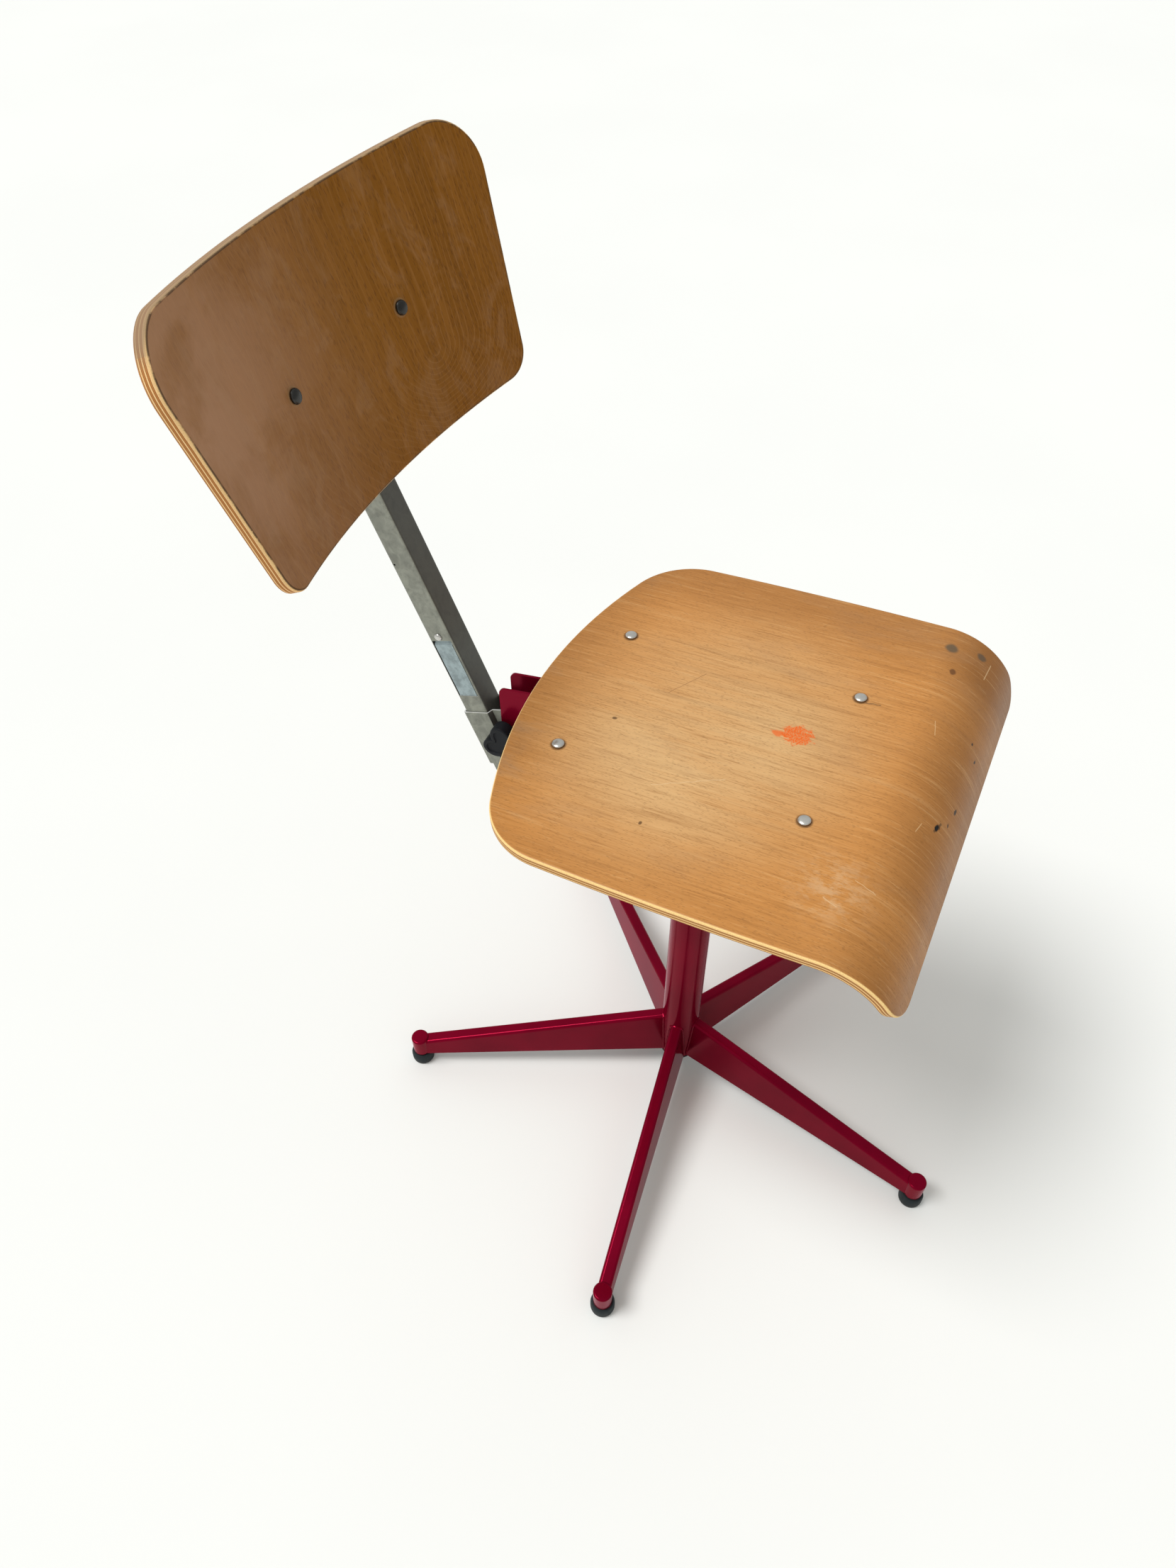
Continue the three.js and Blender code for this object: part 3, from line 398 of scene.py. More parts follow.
# ---------------------------------------------------------------- finishes
def red_paint():
    paint = settings("pedestal").enamel
    s = Shader("Burgundy enamel")
    place = s.place()
    broad = s.noise(place, 9.0, 3.0)
    peel = s.noise(place, 420.0, 2.0)
    dust = s.ranged(s.noise(place, 900.0, 4.0, 0.7), 0.66, 0.74)
    top = s.ranged(s.facing((0, 0, 1)), 0.2, 0.95)
    scuff = s.ranged(s.noise(s.mapped(place, (60, 60, 420)), 1.0, 4.0, 0.6), 0.68, 0.73)
    wear = s.ranged(s.noise(place, 26.0, 3.0, 0.6), 0.52, 0.7)
    shade = s.blend(s.ranged(broad, 0.3, 0.7), tint(paint, 0.82), tint(paint, 1.16))
    shade = s.blend(dust * top * 0.16, shade, (0.30, 0.13, 0.14))
    shade = s.blend(scuff * wear * 0.55, shade, tint(paint, 0.3))
    rough = 0.13 + s.ranged(broad, 0.35, 0.75) * 0.09 + scuff * wear * 0.25 + dust * top * 0.2
    normal = s.bump(peel, 0.05, 0.0006)
    return s.surface(base_color=shade, roughness=rough, normal=normal,
                     metallic=0.32,
                     specular_ior_level=0.34, specular_tint=(1.0, 0.36, 0.5, 1.0), ior=1.22)


def black_plastic():
    plastic = settings("pedestal").plastic
    s = Shader("Moulded black plastic")
    place = s.place()
    grain = s.noise(place, 2600.0, 3.0, 0.6)
    broad = s.noise(place, 40.0, 3.0)
    dust = s.ranged(s.noise(place, 700.0, 4.0, 0.7), 0.6, 0.74)
    top = s.ranged(s.facing((0, 0, 1)), 0.1, 1.0)
    shade = s.blend(s.ranged(broad, 0.3, 0.7), tint(plastic, 0.8), tint(plastic, 1.35))
    shade = s.blend(dust * (top * 0.12 + 0.03), shade, (0.12, 0.115, 0.105))
    rough = 0.36 + broad * 0.16 + grain * 0.06
    return s.surface(base_color=shade, roughness=rough, normal=s.bump(grain, 0.22, 0.0004),
                     specular_ior_level=0.3, ior=1.3)


def rubber():
    tone = settings("pedestal").rubber
    s = Shader("Black rubber")
    place = s.place()
    height = s.parts(place)[2]
    grain = s.noise(place, 1500.0, 3.0, 0.6)
    bloom = s.ranged(s.noise(place, 130.0, 4.0, 0.65), 0.45, 0.72)
    scuffed = s.ranged(height, 0.007, 0.001)
    shade = s.blend(bloom * 0.5, tone, tint(tone, 2.3))
    shade = s.blend(scuffed * s.ranged(grain, 0.35, 0.6) * 0.6, shade, (0.1, 0.095, 0.085))
    rough = 0.6 + bloom * 0.2
    return s.surface(base_color=shade, roughness=rough, normal=s.bump(grain, 0.3, 0.0005),
                     specular_ior_level=0.2)


def galvanised():
    steel = settings("stem").steel
    s = Shader("Galvanised steel")
    place = s.place()
    lean = (settings("stem").lean, 0, 0)
    spangle = s.cells(s.mapped(place, (150, 150, 95), lean), 1.0, output=1)
    tone = s.parts(spangle)[0]
    mottle = s.noise(place, 85.0, 5.0, 0.65, 0.6)
    brushed = s.noise(s.mapped(place, (2400, 2400, 60), lean), 1.0, 3.0, 0.6)
    grime = s.ranged(s.noise(place, 300.0, 5.0, 0.7), 0.55, 0.75)
    # Painted shade: faces that look forward off the stem's front are drawn almost black, standing in for
    # the shade on that side.
    front = s.ranged(s.facing((0, -0.935, 0.353)), 0.6, 0.85)
    level = s.ranged(mottle, 0.3, 0.72)
    shade = s.blend(level, tint(steel, 0.70), tint(steel, 1.32))
    shade = s.blend(tone * 0.22, shade, tint(steel, 1.5))
    shade = s.blend(brushed * 0.25, shade, tint(steel, 0.62))
    shade = s.blend(grime * 0.35, shade, (0.075, 0.072, 0.055))
    shade = s.blend(front * 0.75, shade, (0.05, 0.05, 0.049))
    # Painted highlight: faces that look up along the stem, such as the carrier's top lip, are drawn near
    # white.
    lit_upper_faces = s.ranged(s.facing((0, 0.353, 0.935)), 0.75, 0.95)
    shade = s.blend(lit_upper_faces * 0.8, shade, (0.85, 0.85, 0.82))
    rough = 0.36 + mottle * 0.2 + brushed * 0.1
    normal = s.bump(brushed, 0.12, 0.0003)
    return s.surface(base_color=shade, roughness=rough, normal=normal, metallic=0.55 + level * 0.2)


def zinc():
    tone = settings("stem").zinc
    s = Shader("Zinc plate")
    place = s.place()
    cloud = s.noise(place, 120.0, 4.0, 0.6)
    fine = s.noise(s.mapped(place, (1800, 900, 900)), 1.0, 3.0)
    shade = s.blend(s.ranged(cloud, 0.3, 0.7), tint(tone, 0.78), tint(tone, 1.3))
    shade = s.blend(s.ranged(fine, 0.55, 0.75) * 0.3, shade, tint(tone, 0.5))
    return s.surface(base_color=shade, roughness=0.32 + cloud * 0.22, metallic=0.8,
                     normal=s.bump(fine, 0.1, 0.0002))


def bright_steel(name="Bright nickelled steel", shade_factor=1.0):
    # shade_factor darkens the nickel as painted shade; at 1.0 it stays bright.
    tone = tint(settings("stem").nickel, shade_factor)
    s = Shader(name)
    place = s.place()
    cloud = s.noise(place, 60.0, 4.0, 0.6)
    drawn = s.noise(s.mapped(place, (900, 900, 14)), 1.0, 3.0)
    speck = s.ranged(s.noise(place, 800.0, 4.0, 0.7), 0.66, 0.76)
    shade = s.blend(s.ranged(cloud, 0.3, 0.7), tint(tone, 0.85), tint(tone, 1.15))
    shade = s.blend(speck * 0.5, shade, (0.16, 0.12, 0.08))
    rough = 0.2 + cloud * 0.1 + drawn * 0.08 + speck * 0.2
    return s.surface(base_color=shade, roughness=rough, metallic=0.92, normal=s.bump(drawn, 0.05, 0.0002))


# Painted shade: the nickel darkened almost to black, standing in for the dark reflection on the back
# screws' domes.
def shaded_nickel():
    return bright_steel("Shaded nickel", 0.085)


def plywood_edge(s, face_shade, light, dark, plies=7):
    """The board's layers where its edge shows, by depth under the front face."""
    depth = s.node("ShaderNodeAttribute", {"attribute_name": "ply_depth"}, output=2)
    # Painted highlight: the top of the rounded rim is made lighter than the plies and its first glue line
    # is left out, so a bright band runs along the rim.
    stops = [(0.0, tint(light, 1.15))]
    glue = tint(dark, 0.35)
    for layer in range(2, plies):
        line = layer / plies
        before, after = (dark, light) if layer % 2 else (light, dark)
        stops += [(line - 0.022, before), (line - 0.006, glue), (line + 0.010, glue), (line + 0.026, after)]
    stops.append((1.0, light))
    fibre = s.noise(s.place(), 1400.0, 4.0, 0.7)
    wavy = depth + (s.noise(s.place(), 60.0, 2.0) - 0.5) * 0.05
    layers = s.ramp(wavy, stops)
    layers = s.blend(s.ranged(fibre, 0.45, 0.75) * 0.45, layers, tint(dark, 0.7))
    cut = s.ranged(depth, 0.015, 0.07) * s.ranged(depth, 0.95, 0.92)
    return s.blend(cut, face_shade, layers), cut


def grain_uv(s):
    uv = s.node("ShaderNodeUVMap", {"uv_map": "grain"})
    across, along, _ = s.parts(uv)
    return uv, across, along


def rings(s, across, along, centres, reach, soft):
    """Where the wood shows a ring round each screw."""
    ring = None
    for centre in centres:
        spot = s.spot(across, along, centre, (reach, reach), soft)
        ring = spot if ring is None else ring + spot
    return ring


def beech_seat():
    p = settings("seat")
    s = Shader("Lacquered beech seat")
    uv, across, along = grain_uv(s)
    broad = s.noise(s.mapped(uv, (9, 2.6, 1)), 1.0, 3.0, 0.5, 0.4)
    streak = s.noise(s.mapped(uv, (95, 3.4, 1), (0, 0, 0.05)), 1.0, 5.0, 0.65, 0.9)
    fine = s.noise(s.mapped(uv, (560, 22, 1), (0, 0, 0.05)), 1.0, 5.0, 0.7, 0.4)
    fleck_map = s.mapped(uv, (1500, 240, 1), (0, 0, 0.04))
    fleck_size = s.cells(fleck_map)
    fleck_kind = s.parts(s.cells(fleck_map, output=1))[0]
    fleck = s.ranged(fleck_size, 0.42, 0.2) * s.ranged(fleck_kind, 0.45, 0.7)
    worn = s.spot(across, along, (-0.015, 0.0), (0.21, 0.185), 0.75)
    worn = worn * s.ranged(broad + streak * 0.5, 0.52, 0.86, 0.4, 1.0)
    # Painted shade: the seat is drawn darker over the front bend and towards the far side, and a little
    # darker towards the near side and the rear edge.
    bend = s.ranged(along, -0.150, -0.215)
    far = s.ranged(across, 0.10, 0.195)
    near = s.ranged(across, -0.14, -0.2)
    rear = s.ranged(along, 0.095, 0.165)
    bend_and_edge_shade = bend * 0.8 + far * 0.5 + near * 0.15 + rear * 0.3
    shade = s.blend(worn * 0.95, p.honey, p.pale)
    shade = s.blend(bend_and_edge_shade * s.ranged(broad, 0.2, 0.62, 0.35, 1.0), shade, p.brown)
    shade = s.blend(s.ranged(streak, 0.5, 0.72) * 0.32, shade, tint(p.brown, 1.05))
    shade = s.blend(s.ranged(streak, 0.46, 0.26) * 0.28, shade, tint(p.pale, 1.1))
    shade = s.blend(s.ranged(fine, 0.46, 0.72) * 0.52, shade, p.brown)
    shade = s.blend(s.ranged(fine, 0.46, 0.3) * 0.3, shade, tint(p.pale, 1.12))
    smudge = s.ranged(s.noise(s.mapped(uv, (16, 7, 1), (0, 0, 0.1)), 1.0, 5.0, 0.65, 0.8), 0.52, 0.7)
    shade = s.blend(smudge * (0.2 + rear * 0.45), shade, (0.37, 0.215, 0.11))
    shade = s.blend(fleck * 0.42, shade, tint(p.brown, 0.5))
    # marks of use
    grit = s.ranged(s.noise(uv, 620.0, 3.0, 0.6), 0.44, 0.56)
    wobble = (s.noise(uv, 120.0, 3.0) - 0.5) * 0.008
    blot = s.noise(s.mapped(uv, (330, 190, 1), (0, 0, 0.5)), 1.0, 6.0, 0.75)
    stain = s.spot(across, along, (0.0125, -0.0735), (0.0215, 0.0275), 1.0) + (blot - 0.5) * 2.1
    trail = s.spot(across, along, (0.0085, -0.0585), (0.0085, 0.0135), 1.0) + (blot - 0.5) * 2.4
    stain = s.ranged(stain, 0.42, 0.62) * (grit * 0.5 + 0.5)
    stain = stain + (1 - stain) * s.ranged(trail, 0.42, 0.75) * 0.75
    shade = s.blend(stain, shade, (0.78, 0.125, 0.010))
    for centre, reach, depth, tone in (
            ((0.1748, -0.168), (0.0075, 0.0078), 0.85, (0.105, 0.08, 0.05)),
            ((0.183, -0.1968), (0.0058, 0.0062), 0.8, (0.095, 0.07, 0.045)),
            ((0.1453, -0.1763), (0.005, 0.004), 0.8, (0.12, 0.045, 0.014)),
            ((-0.0293, 0.0818), (0.002, 0.0028), 0.8, (0.08, 0.035, 0.012)),
            ((-0.1322, 0.0114), (0.0026, 0.0018), 0.8, (0.08, 0.035, 0.012)),
            ((-0.0265, -0.2135), (0.0050, 0.0024), 1.0, (0.006, 0.005, 0.005)),
            ((0.005, -0.227), (0.0042, 0.0018), 0.9, (0.03, 0.022, 0.016)),
            ((0.083, -0.219), (0.0022, 0.0014), 0.9, (0.03, 0.022, 0.016)),
            ((0.070, -0.229), (0.0026, 0.0014), 0.9, (0.03, 0.022, 0.016)),
            ((-0.014, -0.224), (0.0030, 0.0012), 0.8, (0.03, 0.022, 0.016)),
            ((0.1666, 0.1383), (0.005, 0.003), 0.6, (0.74, 0.55, 0.33))):
        mark = s.spot(across + wobble * 0.3, along - wobble * 0.3, centre, reach, 0.5)
        shade = s.blend(mark * depth, shade, tone)
    scuffed = s.spot(across, along, (-0.134, -0.152), (0.052, 0.05), 1.0)
    scuffed = scuffed * s.ranged(s.noise(s.mapped(uv, (120, 60, 1)), 1.0, 5.0, 0.7), 0.42, 0.62)
    shade = s.blend(scuffed * 0.42, shade, (0.72, 0.50, 0.29))
    for start, end, half, tone in (
            ((0.074, -0.1165), (0.0765, -0.1290), 0.0011, (0.10, 0.06, 0.03)),
            ((-0.0315, -0.2118), (-0.0200, -0.2160), 0.0016, (0.0, 0.0, 0.0)),
            ((-0.0270, -0.2122), (-0.0245, -0.2155), 0.0020, (0.0, 0.0, 0.0)),
            ((0.160, -0.2065), (0.1825, -0.2085), 0.0007, (0.72, 0.5, 0.27)),
            ((-0.046, -0.196), (-0.034, -0.1985), 0.0006, (0.70, 0.45, 0.22)),
            ((0.062, -0.182), (0.078, -0.178), 0.0006, (0.70, 0.46, 0.23)),
            ((-0.145, -0.148), (-0.150, -0.160), 0.0007, (0.74, 0.5, 0.27)),
            ((-0.120, -0.166), (-0.124, -0.184), 0.0006, (0.74, 0.5, 0.27)),
            ((0.02, 0.05), (0.055, 0.028), 0.0005, (0.22, 0.10, 0.04)),
            ((-0.09, 0.02), (-0.06, -0.035), 0.0005, (0.76, 0.54, 0.30))):
        shade = s.blend(s.stroke(across + wobble * 0.5, along, start, end, half) * 0.6, shade, tone)
    screws = [(side * p.screw_x, row) for side in (-1, 1) for row in (-p.screw_front, p.screw_rear)]
    # Painted shadow: a dark ring round each screw head.
    shade = s.blend(rings(s, across, along, screws, 0.0082, 0.28) * 0.75, shade, (0.07, 0.03, 0.012))
    # The pale ply colour is raised here to carry the painted highlight along the rim.
    shade, cut = plywood_edge(s, shade, (0.95, 0.62, 0.26), (0.48, 0.20, 0.055))
    rough = 0.3 + worn * 0.1 + fine * 0.1 + fleck * 0.12 + cut * 0.25
    relief = fine * 0.35 - fleck * 0.9
    normal = s.bump(relief, 0.16, 0.0004, s.bump(broad, 0.12, 0.004))
    return s.surface(base_color=shade, roughness=rough, normal=normal,
                     coat_weight=0.10 - cut * 0.08, coat_roughness=0.22, specular_ior_level=0.16)


def beech_back():
    p = settings("back")
    s = Shader("Stained beech backrest")
    uv, across, along = grain_uv(s)
    warp = s.noise(s.mapped(uv, (7, 3.2, 1)), 1.0, 3.0, 0.5, 0.5)
    swirl = s.spot(across, along, (0.11, -0.05), (0.13, 0.2), 1.0)
    below = s.node("ShaderNodeMath", {"operation": "MINIMUM"}, {0: (along + 0.045) * 26.0, 1: 0.0})
    beside = (across - 0.098) * 19.0
    flow = (beside * beside + below * below + 0.04) ** 0.5 + warp * 1.6
    broad = s.node("ShaderNodeMath", {"operation": "FRACT"}, {0: flow * 2.3})
    line = s.ranged(broad, 0.0, 0.62) * s.ranged(broad, 1.0, 0.8)
    thin = s.node("ShaderNodeMath", {"operation": "FRACT"}, {0: flow * 9.0})
    hair = s.ranged(thin, 0.70, 0.92) * s.ranged(thin, 1.0, 0.96)
    fine = s.noise(s.mapped(uv, (640, 16, 1)), 1.0, 4.0, 0.65)
    streak = s.noise(s.mapped(uv, (70, 3, 1)), 1.0, 4.0, 0.6, 0.7)
    cell_map = s.mapped(uv, (1050, 150, 1))
    fleck = s.ranged(s.cells(cell_map), 0.46, 0.22)
    fleck = fleck * s.ranged(s.parts(s.cells(cell_map, output=1))[0], 0.35, 0.6)
    haze = s.noise(uv, 15.0, 4.0, 0.6, 0.5)
    pinkish = s.spot(across, along, (-0.20, 0.04), (0.27, 0.28), 1.0) * s.ranged(haze, 0.3, 0.62, 0.5, 1.0)
    shade = s.blend(s.ranged(streak, 0.3, 0.72), tint(p.brown, 0.93), tint(p.brown, 1.1))
    shade = s.blend(line * 0.09, shade, p.pale)
    shade = s.blend(hair * (0.26 + swirl * 0.22), shade, tint(p.pale, 1.1))
    cloud = s.ranged(s.noise(s.mapped(uv, (34, 20, 1), (0, 0, 0.4)), 1.0, 5.0, 0.66, 0.9), 0.48, 0.66)
    golden = s.spot(across, along, (0.02, -0.02), (0.16, 0.17), 1.0)
    shade = s.blend(golden * 0.4, shade, (0.300, 0.118, 0.010))
    shade = s.blend(s.ranged(fine, 0.5, 0.75) * 0.24, shade, tint(p.dark, 1.6))
    shade = s.blend(fleck * 0.5, shade, p.dark)
    shade = s.blend(pinkish * 0.85, shade, (0.47, 0.257, 0.144))
    shade = s.blend(s.ranged(streak, 0.52, 0.7) * 0.09, shade, tint(p.pale, 1.25))
    shade = s.blend(cloud * 0.17, shade, (0.44, 0.26, 0.14))
    screws = [(side * p.screw_arc, 0.0) for side in (-1, 1)]
    shade = s.blend(rings(s, across, along, screws, 0.0084, 0.2) * 0.6, shade, (0.42, 0.24, 0.11))
    # The pale ply colour is raised here to carry the painted highlight along the rim.
    shade, cut = plywood_edge(s, shade, (0.95, 0.60, 0.28), (0.52, 0.21, 0.06))
    grubby = s.ranged(s.facing((0, 0.322, 0.947)), 0.35, 0.75)
    shade = s.blend(cut * grubby * 0.8, shade, (0.30, 0.205, 0.13))
    depth = s.node("ShaderNodeAttribute", {"attribute_name": "ply_depth"}, output=2)
    chipped = s.ranged(s.noise(uv, 45.0, 5.0, 0.7), 0.36, 0.52)
    chipped = chipped * s.ranged(depth, 0.002, 0.012) * s.ranged(depth, 0.10, 0.05)
    shade = s.blend(chipped * 0.8, shade, (0.065, 0.038, 0.024))
    rough = 0.32 + fine * 0.12 + fleck * 0.12 + cut * 0.2
    relief = fine * 0.35 - fleck * 0.9
    normal = s.bump(relief, 0.16, 0.0004, s.bump(warp, 0.1, 0.004))
    return s.surface(base_color=shade, roughness=rough, normal=normal,
                     coat_weight=0.05 - cut * 0.04, coat_roughness=0.25, specular_ior_level=0.2, ior=1.22)


FINISHES = {
    "red_paint": red_paint, "black_plastic": black_plastic, "rubber": rubber, "beech_seat": beech_seat,
    "beech_back": beech_back, "galvanised": galvanised, "zinc": zinc, "bright_steel": bright_steel,
    "shaded_nickel": shaded_nickel,
}
made_finishes = {}


def finish(slot):
    if slot not in made_finishes:
        made_finishes[slot] = FINISHES[slot]()
    return made_finishes[slot]


# ---------------------------------------------------------------- placing and shaping
def leaned(origin, lean):
    """Axes at origin, leaned to the rear about X."""
    return Matrix.Translation(origin) @ Matrix.Rotation(-lean, 4, "X")


def column_axis():
    axis = middle("column")
    return Vector((axis.x, axis.y, 0.0))


def seat_axes():
    return leaned(column_axis() + Vector((0, 0, settings("seat").height)), settings("seat").pitch)


def pivot_point():
    bolt = middle("pivot_bolt")
    return Vector((column_axis().x, bolt.y, bolt.z))


def stem_axes():
    p = settings("stem")
    axes = leaned(Vector(), p.lean)
    return Matrix.Translation(pivot_point() - axes @ Vector((0, -p.setback, -p.drop))) @ axes


def back_axes():
    p = settings("back")
    return leaned(stem_axes() @ Vector((0, -p.standoff, p.along)), p.lean)


ALONG_X = Matrix.Rotation(pi / 2, 4, "Y")     # turns a piece made about Z to lie along X


def recalculate(bm):
    bmesh.ops.remove_doubles(bm, verts=bm.verts, dist=1e-6)
    bmesh.ops.recalc_face_normals(bm, faces=bm.faces)


def rounded_edges(bm, edges, radius, segments=3):
    bmesh.ops.bevel(bm, geom=edges, offset=radius, offset_type="OFFSET", affect="EDGES",
                    segments=segments, profile=0.5, material=-1, clamp_overlap=True)


def sharp_edges(bm, limit=radians(28)):
    return [e for e in bm.edges if len(e.link_faces) == 2 and e.calc_face_angle() > limit]


def finished(name, bm, slot, nodes, look=None):
    """A piece made of a bmesh: it rides with the CAD nodes it stands for and takes their finish."""
    mesh = bpy.data.meshes.new(name)
    bm.to_mesh(mesh)
    bm.free()
    mesh.shade_smooth()
    mesh.set_sharp_from_angle(angle=SMOOTH_ANGLE)
    mesh.materials.append(finish(look or slot))
    made = bpy.data.objects.new(name, mesh)
    bpy.context.scene.collection.objects.link(made)
    weighted = made.modifiers.new("Flat faces stay flat", "WEIGHTED_NORMAL")
    weighted.keep_sharp = True
    body = {frame["nodes"][node]["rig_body"] for node in nodes}
    if len(body) != 1:
        raise RuntimeError(f"{name} stands for nodes on more than one body")
    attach(made, body.pop())
    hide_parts(*nodes)
    return made


def turned(profile, edge=0.0005, place=Matrix(), steps=48, closed=False, segments=3):
    """A piece turned about Z from (radius, height) corners, with its edges eased."""
    bm = bmesh.new()
    corners = [bm.verts.new((radius, 0, height)) for radius, height in profile]
    pairs = list(zip(corners, corners[1:]))
    if closed:
        pairs.append((corners[-1], corners[0]))
    sides = [bm.edges.new(pair) for pair in pairs]
    bmesh.ops.spin(bm, geom=corners + sides, cent=(0, 0, 0), axis=(0, 0, 1),
                   angle=2 * pi, steps=steps, use_merge=True, use_duplicate=False)
    recalculate(bm)
    if edge:
        rounded_edges(bm, sharp_edges(bm), edge, segments)
    bmesh.ops.transform(bm, matrix=place, verts=bm.verts)
    return bm


def pipe(inner, outer, low, high, edge=0.0004, place=Matrix(), steps=48):
    corners = [(inner, low), (outer, low), (outer, high), (inner, high)]
    return turned(corners, edge, place, steps, closed=True)


def refined(node, edge, segments=2):
    """A CAD node's shape with its sharp edges eased."""
    bm = bmesh.new()
    bm.from_mesh(frame["nodes"][node].data)
    bmesh.ops.remove_doubles(bm, verts=bm.verts, dist=2e-6)
    bmesh.ops.dissolve_limit(bm, angle_limit=radians(0.6), verts=bm.verts, edges=bm.edges)
    rounded_edges(bm, sharp_edges(bm), edge, segments)
    return bm


def bead(bm, path, radius, sides=8):
    """A weld bead along a path of (point, outward direction)."""
    loops = []
    for i, point in enumerate(path):
        run = (path[(i + 1) % len(path)] if i + 1 < len(path) else point) - path[max(0, i - 1)]
        turn = run.to_track_quat("Z", "Y").to_matrix().to_4x4()
        size = radius * (1.0 + 0.18 * sin(i * 2.4))
        made = bmesh.ops.create_circle(bm, cap_ends=False, radius=size, segments=sides,
                                       matrix=Matrix.Translation(point) @ turn)
        verts = made["verts"]
        loops.append({e for v in verts for e in v.link_edges})
    for first, second in zip(loops, loops[1:]):
        bmesh.ops.bridge_loops(bm, edges=list(first | second))
    for end in (loops[0], loops[-1]):
        bmesh.ops.holes_fill(bm, edges=list(end), sides=sides)


def board(outline, ply, rim, stations, axis, place, axes):
    """A sheet of plywood cut to a flat outline, eased round its rim and bent to shape by place."""
    bm = bmesh.new()
    face = bm.faces.new([bm.verts.new((u, v, 0)) for u, v in outline])
    bm.normal_update()
    if face.normal.z < 0:
        face.normal_flip()
    grown = bmesh.ops.extrude_face_region(bm, geom=[face])
    lower = [v for v in grown["geom"] if isinstance(v, bmesh.types.BMVert)]
    bmesh.ops.translate(bm, verts=lower, vec=(0, 0, -ply))
    bmesh.ops.recalc_face_normals(bm, faces=bm.faces)
    for height, radius in ((0.0, rim), (-ply, rim * 0.5)):
        ring = [e for e in sharp_edges(bm) if all(abs(v.co.z - height) < 1e-6 for v in e.verts)]
        rounded_edges(bm, ring, radius, 5)
        flat = [f for f in bm.faces if all(abs(v.co.z - height) < 1e-6 for v in f.verts)]
        bmesh.ops.inset_region(bm, faces=flat, thickness=0.0012, depth=0.0)
    normal = Vector((1, 0, 0)) if axis == 0 else Vector((0, 1, 0))
    for station in stations:
        bmesh.ops.bisect_plane(bm, geom=bm.verts[:] + bm.edges[:] + bm.faces[:], dist=1e-7,
                               plane_co=normal * station, plane_no=normal)
    grain = bm.loops.layers.uv.new("grain")
    depth = bm.verts.layers.float.new("ply_depth")
    for f in bm.faces:
        for loop in f.loops:
            loop[grain].uv = loop.vert.co.xy
    for v in bm.verts:
        v[depth] = -v.co.z / ply
        v.co = axes @ place(v.co.x, v.co.y, -v.co.z)
    bmesh.ops.recalc_face_normals(bm, faces=bm.faces)
    return bm


def arc(centre, radius, start, end, steps):
    return [(centre[0] + radius * cos(start + (end - start) * k / steps),
             centre[1] + radius * sin(start + (end - start) * k / steps)) for k in range(steps + 1)]


def bow(start, control, end, steps):
    """Points of a quadratic curve, its ends left out."""
    points = []
    for k in range(1, steps):
        t = k / steps
        points.append(tuple((1 - t) ** 2 * a + 2 * t * (1 - t) * b + t * t * c
                            for a, b, c in zip(start, control, end)))
    return points


def spread(low, high, step):
    count = max(1, round((high - low) / step))
    return [low + (high - low) * k / count for k in range(count + 1)]


